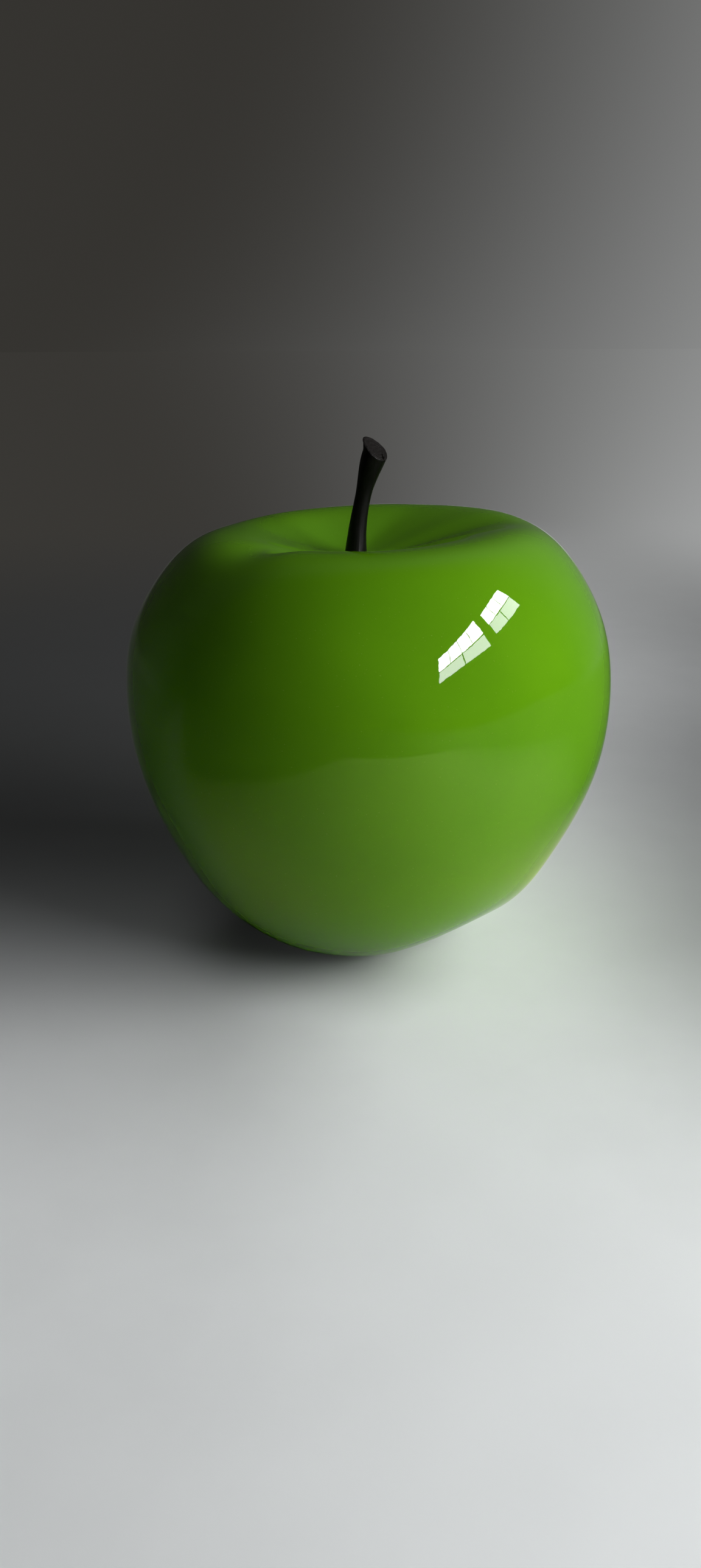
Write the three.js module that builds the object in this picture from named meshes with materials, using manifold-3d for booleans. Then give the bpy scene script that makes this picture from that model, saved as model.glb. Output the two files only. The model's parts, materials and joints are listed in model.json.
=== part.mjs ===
// Decorative apple: a hollow lacquered body moulded in two halves, with a cast stem bolted into its dimple.
// Millimetres, +Z up. The wide lobe of the base faces -Y, and +X is to the right when seen from there.

import * as THREE from 'three';
import { mergeVertices } from 'three/addons/utils/BufferGeometryUtils.js';
import Module from 'manifold-3d';

const wasm = await Module();
wasm.setup();

// Main sizes of the body, with heights measured from the plane through the feet of its lobes
const GIRTH_RADIUS = 145;
const GIRTH_HEIGHT = 169;
const CROWN_RADIUS = 75.1;
const CROWN_HEIGHT = 248.2;
const SEAT_DEPTH = 16.7;
const FOOT_RADIUS = 57;

// Lobes: compass angles of the valleys between them, from -Y towards +X, in degrees
const CROWN_VALLEYS = [-45, 11, 93.5, 168, 236.5];
const BASE_VALLEYS = [-64, 44, 112, 176, 238];
const LOBE_COUNT = BASE_VALLEYS.length;
const CROWN_VALLEY_DROPS = [3.1, 0.3, 2.5, 0, 1];
const FLANK_VALLEY_INSET = 1.4;
const BASE_VALLEY_RISE = 7.9;
const BASE_VALLEY_INSET = 4.2;

// The crown is higher towards +X, by this much for each millimetre, and the axis bends as it rises
const CROWN_TILT = 0.0354;
const SEAT_SHIFT = -7;
const CROWN_SHIFT = -0.2;
const FOOT_SHIFT = -5.6;

// Shell walls and the joint of the two halves
const WALL = 3;
const BOSS_THICKNESS = 5;
const BOSS_MARGIN = 1;
const SEAT_MARGIN = 2;
const BAND_HEIGHT = 40;
const BAND_THICKNESS = 2;
const GLUE_LINE = 0.3;

// Stem, cut off at its head by a sloping plane
const STEM_HEIGHT = 60.7;
const STEM_LEAN = 12.2;
const STEM_BEND = 1.85;
const STEM_FOOT_RADIUS = 6.7;
const STEM_WAIST_RADIUS = 4.7;
const STEM_WAIST_SHARE = 0.555;
const STEM_HEAD_RADIUS = 7.9;
const STEM_CUT_NORMAL = new THREE.Vector3(0.72, -0.5, 1).normalize();

// Fixing of the stem: a stud with washers and a nut inside the shell
const FIT_CLEARANCE = 0.3;
const STUD_RADIUS = 2.5;
const STUD_EMBED = 14;
const STUD_END = 3;
const STUD_CHAMFER = 0.6;
const PLATE_RADIUS = 13;
const PLATE_THICKNESS = 2;
const WASHER_RADIUS = 7.5;
const WASHER_THICKNESS = 1.2;
const SPRING_WASHER_RADIUS = 4.6;
const SPRING_WASHER_THICKNESS = 1.2;
const SPRING_WASHER_SLIT = 0.9;
const NUT_FLATS = 8;
const NUT_FACE_SHARE = 0.95;
const NUT_CHAMFER_SLOPE = Math.tan(Math.PI / 6);
const NUT_THICKNESS = 4;

// Access hole under the base, its ring, cover and screws
const RECESS_RADIUS = 31;
const RECESS_HEIGHT = 18;
const ACCESS_RADIUS = 19;
const LEDGE_MARGIN = 1;
const RING_OVERLAP = 5;
const RING_THICKNESS = 9;
const COVER_CLEARANCE = 0.5;
const COVER_THICKNESS = 3;
const COVER_EDGE = 0.8;
const SCREW_COUNT = 3;
const SCREW_RADIUS = 1.9;
const SCREW_HEAD_RADIUS = 3.7;
const SCREW_HEAD_HEIGHT = 2.2;
const SCREW_LENGTH = 13;
const SCREW_POINT = 3;
const DRIVER_SLOT_WIDTH = 0.9;
const DRIVER_SLOT_LENGTH = 4.2;
const DRIVER_SLOT_DEPTH = 1.3;

// Foot pads under the lobes, level below and shaped above, over a core that is this share of their radius
const PAD_RADIUS = 6;
const PAD_THICKNESS = 2;
const PAD_CORE = 0.6;

// Mesh fineness, with steps in stations of the outline
const COLUMNS = 60;
const OUTER_STEP = 1 / 3;
const INNER_STEP = 1 / 2;
const FOOT_STEP = 1 / 5;
const FIRST_ROW = 0.3;
const FIRST_INNER_ROW = 0.5;
const TURNED_SIDES = 32;
const STEM_SIDES = 24;
const STEM_ROWS = 16;

const lacquer = { color: 0x62a010, roughness: 0.08, metalness: 0 };
const castResin = { color: 0x0b0a09, roughness: 0.45, metalness: 0 };
const zincSteel = { color: 0xb4b7ba, roughness: 0.35, metalness: 1 };
const glassTape = { color: 0xb7b188, roughness: 0.7, metalness: 0 };
const plywood = { color: 0xc39b66, roughness: 0.75, metalness: 0 };
const blackPlastic = { color: 0x1c1d1f, roughness: 0.5, metalness: 0 };
const softRubber = { color: 0x2b2b2c, roughness: 0.9, metalness: 0 };

// Value at a share of the way from one size to another
function between(from, to, share) {
  return from + (to - from) * share;
}

// Control values of the closed cubic spline that passes through the given values, by repeated correction
function splineControls(values) {
  const count = values.length;
  const controls = values.slice();
  for (let round = 0; round < 40; round += 1) {
    for (let i = 0; i < count; i += 1) {
      const neighbours = controls[(i + count - 1) % count] + controls[(i + 1) % count];
      controls[i] = (6 * values[i] - neighbours) / 4;
    }
  }
  return controls;
}

function splineAt(controls, place) {
  const count = controls.length;
  const first = Math.floor(place);
  const s = place - first;
  const weights = [(1 - s) ** 3, 3 * s ** 3 - 6 * s ** 2 + 4, -3 * s ** 3 + 3 * s ** 2 + 3 * s + 1, s ** 3];
  let sum = 0;
  for (let k = 0; k < 4; k += 1) {
    sum += (weights[k] / 6) * controls[(first + k - 1 + count) % count];
  }
  return sum;
}

// Stations of the body's outline, from the stem's seat over the crown and down to the recess in the base.
// inset is how far a valley goes in there, dip and rise are shares of its depth in the crown and height in the
// base, and turn mixes the crown's angles with the base's.
const seatHeight = CROWN_HEIGHT - SEAT_DEPTH;
const shoulder = (share) => between(CROWN_RADIUS, GIRTH_RADIUS, share);
const belly = (share) => between(GIRTH_RADIUS, FOOT_RADIUS, share);
const above = (share) => between(GIRTH_HEIGHT, CROWN_HEIGHT, share);
const STATIONS = [
  { radius: 0, height: seatHeight, shift: SEAT_SHIFT, tilt: 0.8, inset: 0, dip: 0, rise: 0, turn: 0 },
  { radius: 0.56 * CROWN_RADIUS, height: seatHeight + 0.496 * SEAT_DEPTH, shift: 0.9 * SEAT_SHIFT,
    tilt: 0.9, inset: 0, dip: 1, rise: 0, turn: 0 },
  { radius: CROWN_RADIUS, height: CROWN_HEIGHT, shift: CROWN_SHIFT,
    tilt: 1, inset: 0, dip: 1, rise: 0, turn: 0 },
  { radius: shoulder(0.432), height: above(0.919), shift: 0.67 * CROWN_SHIFT,
    tilt: 0.88, inset: 0, dip: 0.5, rise: 0, turn: 0 },
  { radius: shoulder(0.821), height: above(0.519), shift: 0.24 * CROWN_SHIFT,
    tilt: 0.52, inset: FLANK_VALLEY_INSET, dip: 0, rise: 0, turn: 0 },
  { radius: GIRTH_RADIUS, height: GIRTH_HEIGHT, shift: 0,
    tilt: 0, inset: 0.5 * FLANK_VALLEY_INSET, dip: 0, rise: 0, turn: 0.5 },
  { radius: belly(0.035), height: 0.66 * GIRTH_HEIGHT, shift: 0.04 * FOOT_SHIFT,
    tilt: 0, inset: 0.5 * FLANK_VALLEY_INSET, dip: 0, rise: 0, turn: 1 },
  { radius: belly(0.266), height: 0.34 * GIRTH_HEIGHT, shift: 0.36 * FOOT_SHIFT,
    tilt: 0, inset: 0.47 * BASE_VALLEY_INSET, dip: 0, rise: 0, turn: 1 },
  { radius: belly(0.549), height: 0.12 * GIRTH_HEIGHT, shift: 0.66 * FOOT_SHIFT,
    tilt: 0, inset: 0.47 * BASE_VALLEY_INSET, dip: 0, rise: 0.6, turn: 1 },
  { radius: FOOT_RADIUS, height: 0, shift: FOOT_SHIFT,
    tilt: 0, inset: BASE_VALLEY_INSET, dip: 0, rise: 1, turn: 1 },
  { radius: RECESS_RADIUS, height: RECESS_HEIGHT, shift: FOOT_SHIFT,
    tilt: 0, inset: 0, dip: 0, rise: 0, turn: 1 },
  { radius: 0, height: RECESS_HEIGHT, shift: FOOT_SHIFT, tilt: 0, inset: 0, dip: 0, rise: 0, turn: 1 },
];
const CROWN = 2;
const GIRTH = 5;
const UNDERSIDE = 8;
const FOOT = 9;
const RECESS = 10;

// The outline closes over the axis: lengths across it change sign there, and the rest mirror
function outlineSpline(key, sign) {
  const values = STATIONS.map((station) => station[key]);
  const back = values.slice(1, -1).reverse();
  return splineControls(values.concat(back.map((value) => sign * value)));
}
const outline = {
  radius: outlineSpline('radius', -1),
  inset: outlineSpline('inset', -1),
  height: outlineSpline('height', 1),
  dip: outlineSpline('dip', 1),
  rise: outlineSpline('rise', 1),
  shift: outlineSpline('shift', 1),
  tilt: outlineSpline('tilt', 1),
  turn: outlineSpline('turn', 1),
};

// Splines round the body, through a value for each valley
function valleySpline(valleys) {
  return splineControls(valleys.map((angle, i) => angle - (360 / LOBE_COUNT) * i));
}
const crownAngles = valleySpline(CROWN_VALLEYS);
const baseAngles = valleySpline(BASE_VALLEYS);
const crownDrops = splineControls(CROWN_VALLEY_DROPS);
const inFrame = (column) => ((column % LOBE_COUNT) + LOBE_COUNT) % LOBE_COUNT;

// Compass angle of a column, from the unevenly spaced valleys
function columnAngle(place, column) {
  const even = (360 / LOBE_COUNT) * column;
  const turn = splineAt(outline.turn, place);
  const bend = between(splineAt(crownAngles, inFrame(column)), splineAt(baseAngles, inFrame(column)), turn);
  return THREE.MathUtils.degToRad(even + bend);
}

// Point of the body's outer skin. place runs from station to station, column from valley to valley.
function skin(place, column) {
  const valley = ((1 + Math.cos(2 * Math.PI * column)) / 2) ** 2;
  const radius = splineAt(outline.radius, place) - valley * splineAt(outline.inset, place);
  const angle = columnAngle(place, column);
  const across = radius * Math.sin(angle);
  const tilt = CROWN_TILT * splineAt(outline.tilt, place);
  const dip = splineAt(crownDrops, inFrame(column)) * splineAt(outline.dip, place);
  const rise = BASE_VALLEY_RISE * splineAt(outline.rise, place);
  const height = splineAt(outline.height, place) + valley * (rise - dip);
  return new THREE.Vector3(
    splineAt(outline.shift, place) + across,
    -radius * Math.cos(angle),
    height + tilt * across,
  );
}

// Point at a depth under the skin, along the skin's normal
function under(place, column, depth) {
  const step = 0.01;
  const alongPlace = skin(place + step, column).sub(skin(place - step, column));
  const alongColumn = skin(place, column + step).sub(skin(place, column - step));
  const inward = alongColumn.cross(alongPlace).normalize();
  return skin(place, column).addScaledVector(inward, depth);
}

// Point on a level circle that shares the columns and the axis of the skin at a place
function circlePoint(place, column, radius, height) {
  const angle = columnAngle(place, column);
  const x = splineAt(outline.shift, place) + radius * Math.sin(angle);
  return new THREE.Vector3(x, -radius * Math.cos(angle), height);
}

// Ring of points round the body, one for each column of the mesh
function ring(pointAt) {
  return Array.from({ length: COLUMNS }, (_, i) => pointAt((i * LOBE_COUNT) / COLUMNS));
}

function skinRing(place, depth = 0) {
  return ring((column) => under(place, column, depth));
}

// The two halves meet on one level plane at the girth
function jointRing(depth) {
  return ring((column) => under(GIRTH, column, depth).setZ(GIRTH_HEIGHT));
}

function circleRing(place, radius, height) {
  return ring((column) => circlePoint(place, column, radius, height));
}

// Places from one to another in near equal steps, both ends included
function placesBetween(from, to, step) {
  const count = Math.max(1, Math.round(Math.abs(to - from) / step));
  return Array.from({ length: count + 1 }, (_, i) => between(from, to, i / count));
}

// Turns a closed geometry's faces outward and drops triangles with no area
function closedBody(source) {
  const plain = source.clone();
  plain.deleteAttribute('normal');
  plain.deleteAttribute('uv');
  const geometry = mergeVertices(plain, 1e-4);
  const corners = geometry.getAttribute('position');
  const kept = [];
  let volume = 0;
  for (let i = 0; i < geometry.index.count; i += 3) {
    const triangle = [0, 1, 2].map((k) => geometry.index.getX(i + k));
    if (new Set(triangle).size === 3) {
      const [a, b, c] = triangle.map((k) => new THREE.Vector3().fromBufferAttribute(corners, k));
      volume += a.dot(b.cross(c)) / 6;
      kept.push(triangle);
    }
  }
  const facing = volume > 0 ? kept : kept.map((triangle) => triangle.reverse());
  geometry.setIndex(facing.flat());
  return geometry;
}

// Closed surface through rings of equal length. Two poles close its ends; without them the last ring
// joins the first.
function loft(rings, poles = []) {
  const columns = rings[0].length;
  const points = rings.flat().concat(poles);
  const indices = [];
  const bands = poles.length ? rings.length - 1 : rings.length;
  for (let i = 0; i < bands; i += 1) {
    const here = i * columns;
    const next = ((i + 1) % rings.length) * columns;
    for (let j = 0; j < columns; j += 1) {
      const k = (j + 1) % columns;
      indices.push(here + j, next + j, next + k, here + j, next + k, here + k);
    }
  }
  if (poles.length) {
    const last = (rings.length - 1) * columns;
    const pole = rings.length * columns;
    for (let j = 0; j < columns; j += 1) {
      const k = (j + 1) % columns;
      indices.push(pole, j, k, pole + 1, last + k, last + j);
    }
  }
  const geometry = new THREE.BufferGeometry();
  const positions = points.flatMap((point) => [point.x, point.y, point.z]);
  geometry.setAttribute('position', new THREE.Float32BufferAttribute(positions, 3));
  geometry.setIndex(indices);
  return closedBody(geometry);
}

// Turned piece about the vertical axis, from [radius, height] pairs
function turned(profile, sides = TURNED_SIDES) {
  const points = profile.map(([radius, height]) => new THREE.Vector2(radius, height));
  const geometry = new THREE.LatheGeometry(points, sides);
  geometry.rotateX(Math.PI / 2);
  return closedBody(geometry);
}

function turnedRing(innerRadius, outerRadius, low, high) {
  const corners = [[innerRadius, low], [outerRadius, low], [outerRadius, high], [innerRadius, high]];
  return turned([...corners, corners[0]]);
}

function turnedPin(radius, low, high) {
  return turned([[0, low], [radius, low], [radius, high], [0, high]]);
}

function toSolid(geometry) {
  const mesh = new wasm.Mesh({
    numProp: 3,
    vertProperties: new Float32Array(geometry.getAttribute('position').array),
    triVerts: new Uint32Array(geometry.index.array),
  });
  return new wasm.Manifold(mesh);
}

function fromSolid(solid) {
  const { vertProperties, triVerts } = solid.getMesh();
  const geometry = new THREE.BufferGeometry();
  geometry.setAttribute('position', new THREE.Float32BufferAttribute(vertProperties, 3));
  geometry.setIndex(Array.from(triVerts));
  return geometry;
}

function cutFrom(geometry, cutters) {
  return fromSolid(cutters.reduce((solid, cutter) => solid.subtract(toSolid(cutter)), toSolid(geometry)));
}

// Places of the cover's screws, evenly round its centre and midway over the ledge that they hold
function screwPlaces() {
  const pitchRadius = (ACCESS_RADIUS + RECESS_RADIUS) / 2;
  return Array.from({ length: SCREW_COUNT }, (_, i) => {
    const angle = (2 * Math.PI * i) / SCREW_COUNT + Math.PI / 2;
    return new THREE.Vector2(Math.cos(angle), Math.sin(angle)).multiplyScalar(pitchRadius);
  });
}

// The same cutter at each screw's place
function atScrews(cutter, centreX = 0) {
  return screwPlaces().map((place) => cutter.clone().translate(centreX + place.x, place.y, 0));
}

// Place between two stations where the first column's skin reaches a height
function placeAtHeight(height, from, to) {
  let [low, high] = [from, to];
  for (let round = 0; round < 40; round += 1) {
    const middle = (low + high) / 2;
    const isAbove = skin(middle, 0).z > height;
    [low, high] = isAbove ? [middle, high] : [low, middle];
  }
  return low;
}

// Rows that the band shares with the shells, each list from the girth outwards without the girth itself
const bandTop = placeAtHeight(GIRTH_HEIGHT + BAND_HEIGHT / 2, CROWN, GIRTH);
const bandBottom = placeAtHeight(GIRTH_HEIGHT - BAND_HEIGHT / 2, GIRTH, UNDERSIDE);
const rowsUp = placesBetween(GIRTH, bandTop, OUTER_STEP / 2).slice(1);
const rowsDown = placesBetween(GIRTH, bandBottom, OUTER_STEP / 2).slice(1);

function upperShell() {
  const rows = placesBetween(FIRST_ROW, GIRTH, OUTER_STEP);
  const innerRows = rowsUp.concat(placesBetween(bandTop, FIRST_INNER_ROW, INNER_STEP).slice(1));
  const holeRadius = STUD_RADIUS + FIT_CLEARANCE;
  const bossHeight = seatHeight - BOSS_THICKNESS;
  return loft([
    circleRing(0, holeRadius, seatHeight),
    circleRing(0, STEM_FOOT_RADIUS + SEAT_MARGIN, seatHeight),
    ...rows.slice(0, -1).map((place) => skinRing(place)),
    jointRing(0),
    jointRing(WALL),
    ...innerRows.map((place) => skinRing(place, WALL)),
    circleRing(0, PLATE_RADIUS + BOSS_MARGIN, bossHeight),
    circleRing(0, holeRadius, bossHeight),
  ]);
}

function lowerShell() {
  const rows = placesBetween(GIRTH, UNDERSIDE, OUTER_STEP).slice(1);
  const footRows = placesBetween(UNDERSIDE, RECESS, FOOT_STEP).slice(1);
  const innerRows = rowsDown.concat(placesBetween(bandBottom, RECESS - INNER_STEP, INNER_STEP).slice(1));
  const ledge = RECESS_HEIGHT + WALL;
  const shell = loft([
    jointRing(0),
    ...rows.concat(footRows).map((place) => skinRing(place)),
    circleRing(RECESS, ACCESS_RADIUS, RECESS_HEIGHT),
    circleRing(RECESS, ACCESS_RADIUS, ledge),
    circleRing(RECESS, RECESS_RADIUS + LEDGE_MARGIN, ledge),
    ...innerRows.reverse().map((place) => skinRing(place, WALL)),
    jointRing(WALL),
  ]);
  const drill = turnedPin(SCREW_RADIUS + FIT_CLEARANCE, RECESS_HEIGHT - 1, ledge + 1);
  return cutFrom(shell, atScrews(drill, FOOT_SHIFT));
}

// Tape laid inside the joint of the halves, a glue line away from both. Its rows run up, as the shells' inner
// rows do, so that the facets of both split the same way.
function seamBand() {
  const wrap = (depth) => [
    ...rowsDown.map((place) => skinRing(place, depth)).reverse(),
    jointRing(depth),
    ...rowsUp.map((place) => skinRing(place, depth)),
  ];
  const outerDepth = WALL + GLUE_LINE;
  return loft([...wrap(outerDepth), ...wrap(outerDepth + BAND_THICKNESS).reverse()]);
}

// Centre and radius of the stem at a share of its height. Its lean ends at the height of the cut's middle.
function stemCentre(share) {
  const lean = STEM_LEAN * Math.min(share, 1) ** STEM_BEND;
  return new THREE.Vector3(SEAT_SHIFT + lean, 0, seatHeight + STEM_HEIGHT * share);
}

function stemRadius(share) {
  if (share < STEM_WAIST_SHARE) {
    const flare = (1 - share / STEM_WAIST_SHARE) ** 2;
    return between(STEM_WAIST_RADIUS, STEM_FOOT_RADIUS, flare);
  }
  const rise = THREE.MathUtils.smoothstep(share, STEM_WAIST_SHARE, 1);
  return between(STEM_WAIST_RADIUS, STEM_HEAD_RADIUS, rise);
}

function stemPoint(share, side) {
  const angle = (2 * Math.PI * side) / STEM_SIDES;
  const radius = stemRadius(share);
  return stemCentre(share).add(new THREE.Vector3(radius * Math.cos(angle), radius * Math.sin(angle), 0));
}

// Share of the height at which one side of the stem meets the sloping cut
function cutShare(side) {
  const onCut = stemCentre(1);
  let [low, high] = [STEM_WAIST_SHARE, 1.5];
  for (let round = 0; round < 40; round += 1) {
    const middle = (low + high) / 2;
    const isBelow = stemPoint(middle, side).sub(onCut).dot(STEM_CUT_NORMAL) < 0;
    [low, high] = isBelow ? [middle, high] : [low, middle];
  }
  return low;
}

function stem() {
  const sides = Array.from({ length: STEM_SIDES }, (_, side) => side);
  const cuts = sides.map((side) => cutShare(side));
  const rows = placesBetween(1, 0, 1 / STEM_ROWS);
  const outside = rows.map((row) => sides.map((side) => stemPoint(row * cuts[side], side)));
  const boreRadius = STUD_RADIUS + FIT_CLEARANCE;
  const boreEnd = seatHeight + STUD_EMBED + FIT_CLEARANCE;
  const boreRing = (height) => sides.map((side) => {
    const angle = (2 * Math.PI * side) / STEM_SIDES;
    return new THREE.Vector3(SEAT_SHIFT + boreRadius * Math.cos(angle), boreRadius * Math.sin(angle), height);
  });
  const boreTop = new THREE.Vector3(SEAT_SHIFT, 0, boreEnd);
  return loft([...outside, boreRing(seatHeight), boreRing(boreEnd)], [stemCentre(1), boreTop]);
}

// Heights under the boss, stacked from the seat down
const bossUnderside = seatHeight - BOSS_THICKNESS;
const plateUnderside = bossUnderside - PLATE_THICKNESS;
const washerUnderside = plateUnderside - WASHER_THICKNESS;
const springUnderside = washerUnderside - SPRING_WASHER_THICKNESS;
const nutUnderside = springUnderside - NUT_THICKNESS;

function stud() {
  const length = seatHeight + STUD_EMBED - nutUnderside + STUD_END;
  const neck = STUD_RADIUS - STUD_CHAMFER;
  return turned([
    [0, 0],
    [neck, 0],
    [STUD_RADIUS, STUD_CHAMFER],
    [STUD_RADIUS, length - STUD_CHAMFER],
    [neck, length],
    [0, length],
  ]);
}

// Flat ring with a narrow slit, as a spring washer is when it is drawn tight
function springWasher() {
  const innerRadius = STUD_RADIUS + FIT_CLEARANCE;
  const slit = SPRING_WASHER_SLIT / SPRING_WASHER_RADIUS;
  const corner = (angle, radius, height) => (
    new THREE.Vector3(radius * Math.cos(angle), radius * Math.sin(angle), height)
  );
  const section = (angle) => [
    corner(angle, innerRadius, 0),
    corner(angle, SPRING_WASHER_RADIUS, 0),
    corner(angle, SPRING_WASHER_RADIUS, SPRING_WASHER_THICKNESS),
    corner(angle, innerRadius, SPRING_WASHER_THICKNESS),
  ];
  const midRadius = (innerRadius + SPRING_WASHER_RADIUS) / 2;
  const middle = (angle) => corner(angle, midRadius, SPRING_WASHER_THICKNESS / 2);
  const angles = placesBetween(slit, 2 * Math.PI, (2 * Math.PI) / TURNED_SIDES);
  return loft(angles.map(section), [middle(slit), middle(2 * Math.PI)]);
}

// Hexagon nut with its corners chamfered by a double cone
function nut() {
  const cornerRadius = NUT_FLATS / Math.sqrt(3);
  const hexagon = turned([[0, 0], [cornerRadius, 0], [cornerRadius, NUT_THICKNESS], [0, NUT_THICKNESS]], 6);
  const faceRadius = NUT_FACE_SHARE * (NUT_FLATS / 2);
  const coneDrop = (cornerRadius - faceRadius) * NUT_CHAMFER_SLOPE;
  const cone = turned([
    [0, 0],
    [faceRadius, 0],
    [cornerRadius, coneDrop],
    [cornerRadius, NUT_THICKNESS - coneDrop],
    [faceRadius, NUT_THICKNESS],
    [0, NUT_THICKNESS],
  ]);
  const bore = turnedPin(STUD_RADIUS + FIT_CLEARANCE, -1, NUT_THICKNESS + 1);
  return fromSolid(toSolid(hexagon).intersect(toSolid(cone)).subtract(toSolid(bore)));
}

function drilledRing() {
  const ringBody = turnedRing(ACCESS_RADIUS, RECESS_RADIUS + RING_OVERLAP, 0, RING_THICKNESS);
  const drill = turnedPin(SCREW_RADIUS + FIT_CLEARANCE, -1, RING_THICKNESS + 1);
  return cutFrom(ringBody, atScrews(drill));
}

// Cover seen from below: its lower edge is chamfered, and each screw hole is countersunk from below
function baseCover() {
  const radius = RECESS_RADIUS - COVER_CLEARANCE;
  const disc = turned([
    [0, 0],
    [radius - COVER_EDGE, 0],
    [radius, COVER_EDGE],
    [radius, COVER_THICKNESS],
    [0, COVER_THICKNESS],
  ]);
  const hole = SCREW_RADIUS + FIT_CLEARANCE;
  const mouth = SCREW_HEAD_RADIUS + FIT_CLEARANCE;
  const countersink = turned([
    [0, -1],
    [mouth, -1],
    [mouth, FIT_CLEARANCE],
    [hole, SCREW_HEAD_HEIGHT + FIT_CLEARANCE],
    [hole, COVER_THICKNESS + 1],
    [0, COVER_THICKNESS + 1],
  ]);
  return cutFrom(disc, atScrews(countersink));
}

// Countersunk screw, head down, with a cross recess
function coverScrew() {
  const body = turned([
    [0, 0],
    [SCREW_HEAD_RADIUS, 0],
    [SCREW_RADIUS, SCREW_HEAD_HEIGHT],
    [SCREW_RADIUS, SCREW_LENGTH - SCREW_POINT],
    [0, SCREW_LENGTH],
  ]);
  const depth = 2 * DRIVER_SLOT_DEPTH;
  const slot = closedBody(new THREE.BoxGeometry(DRIVER_SLOT_LENGTH, DRIVER_SLOT_WIDTH, depth));
  const crossSlot = closedBody(new THREE.BoxGeometry(DRIVER_SLOT_WIDTH, DRIVER_SLOT_LENGTH, depth));
  return cutFrom(body, [slot, crossSlot]);
}

// Height of the body's underside straight above a point of the floor, by Newton steps over the skin
function undersideHeight(x, y, column) {
  const step = 0.001;
  let [place, lobe] = [FOOT, column];
  for (let round = 0; round < 12; round += 1) {
    const here = skin(place, lobe);
    const alongPlace = skin(place + step, lobe).sub(here).divideScalar(step);
    const alongColumn = skin(place, lobe + step).sub(here).divideScalar(step);
    const area = alongPlace.x * alongColumn.y - alongColumn.x * alongPlace.y;
    const [missX, missY] = [x - here.x, y - here.y];
    place += (missX * alongColumn.y - missY * alongColumn.x) / area;
    lobe += (alongPlace.x * missY - alongPlace.y * missX) / area;
  }
  return skin(place, lobe).z;
}

// Pad under the middle of a lobe: flat below, and shaped to the lobe above
function footPad(lobe) {
  const column = lobe + 0.5;
  const centre = skin(FOOT, column);
  const angles = placesBetween(0, 2 * Math.PI, (2 * Math.PI) / TURNED_SIDES).slice(1);
  const padRing = (radius, heightAt) => angles.map((angle) => {
    const x = centre.x + radius * Math.cos(angle);
    const y = centre.y + radius * Math.sin(angle);
    return new THREE.Vector3(x, y, heightAt(x, y));
  });
  const upperFace = (x, y) => undersideHeight(x, y, column) - GLUE_LINE;
  const lowerFace = () => -PAD_THICKNESS;
  return loft([
    padRing(PAD_RADIUS, lowerFace),
    padRing(PAD_RADIUS, upperFace),
    padRing(PAD_CORE * PAD_RADIUS, upperFace),
  ], [
    new THREE.Vector3(centre.x, centre.y, -PAD_THICKNESS),
    new THREE.Vector3(centre.x, centre.y, upperFace(centre.x, centre.y)),
  ]);
}

function piece(name, geometry, look) {
  geometry.computeVertexNormals();
  const mesh = new THREE.Mesh(geometry, new THREE.MeshStandardMaterial(look));
  mesh.name = name;
  return mesh;
}

// Body and stem, whose geometry is already in the body's frame
const body = new THREE.Group();
body.add(
  piece('upper_shell', upperShell(), lacquer),
  piece('lower_shell', lowerShell(), lacquer),
  piece('seam_band', seamBand(), glassTape),
  piece('stem', stem(), castResin),
);
for (let lobe = 0; lobe < LOBE_COUNT; lobe += 1) {
  body.add(piece(`foot_pad_${lobe + 1}`, footPad(lobe), softRubber));
}

// Stem fixing, stacked on the stem's axis
const stemFixing = new THREE.Group();
stemFixing.position.set(SEAT_SHIFT, 0, 0);
function stack(mesh, height) {
  mesh.position.z = height;
  stemFixing.add(mesh);
}
const boltHole = STUD_RADIUS + FIT_CLEARANCE;
stack(piece('stem_stud', stud(), zincSteel), nutUnderside - STUD_END);
stack(piece('stem_backing_plate', turnedRing(boltHole, PLATE_RADIUS, 0, PLATE_THICKNESS), zincSteel),
  plateUnderside);
stack(piece('stem_washer', turnedRing(boltHole, WASHER_RADIUS, 0, WASHER_THICKNESS), zincSteel),
  washerUnderside);
stack(piece('stem_spring_washer', springWasher(), zincSteel), springUnderside);
stack(piece('stem_nut', nut(), zincSteel), nutUnderside);

// Base closure, on the axis of the recess
const baseClosure = new THREE.Group();
baseClosure.position.set(FOOT_SHIFT, 0, RECESS_HEIGHT);
const baseRing = piece('base_ring', drilledRing(), plywood);
baseRing.position.z = WALL;
const cover = piece('base_cover', baseCover(), blackPlastic);
cover.position.z = -COVER_THICKNESS;
baseClosure.add(baseRing, cover);
screwPlaces().forEach((place, i) => {
  const screw = piece(`base_screw_${i + 1}`, coverScrew(), zincSteel);
  screw.position.set(place.x, place.y, -COVER_THICKNESS);
  baseClosure.add(screw);
});

// The whole apple, moved so that the origin is the middle of its footprint
const apple = new THREE.Group();
apple.add(body, stemFixing, baseClosure);
apple.updateMatrixWorld(true);
const extent = new THREE.Box3().setFromObject(apple, true);
const middle = extent.getCenter(new THREE.Vector3());
apple.position.set(-middle.x, -middle.y, -extent.min.z);

export default apple;
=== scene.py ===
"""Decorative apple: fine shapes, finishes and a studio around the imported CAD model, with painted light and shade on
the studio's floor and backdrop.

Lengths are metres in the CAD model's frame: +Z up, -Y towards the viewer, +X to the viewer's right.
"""

from __future__ import annotations

import json
import logging
import math
from collections.abc import Sequence
from dataclasses import dataclass, field
from enum import Enum, IntEnum

import bpy
import numpy as np
from mathutils import Matrix, Vector, noise

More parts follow.
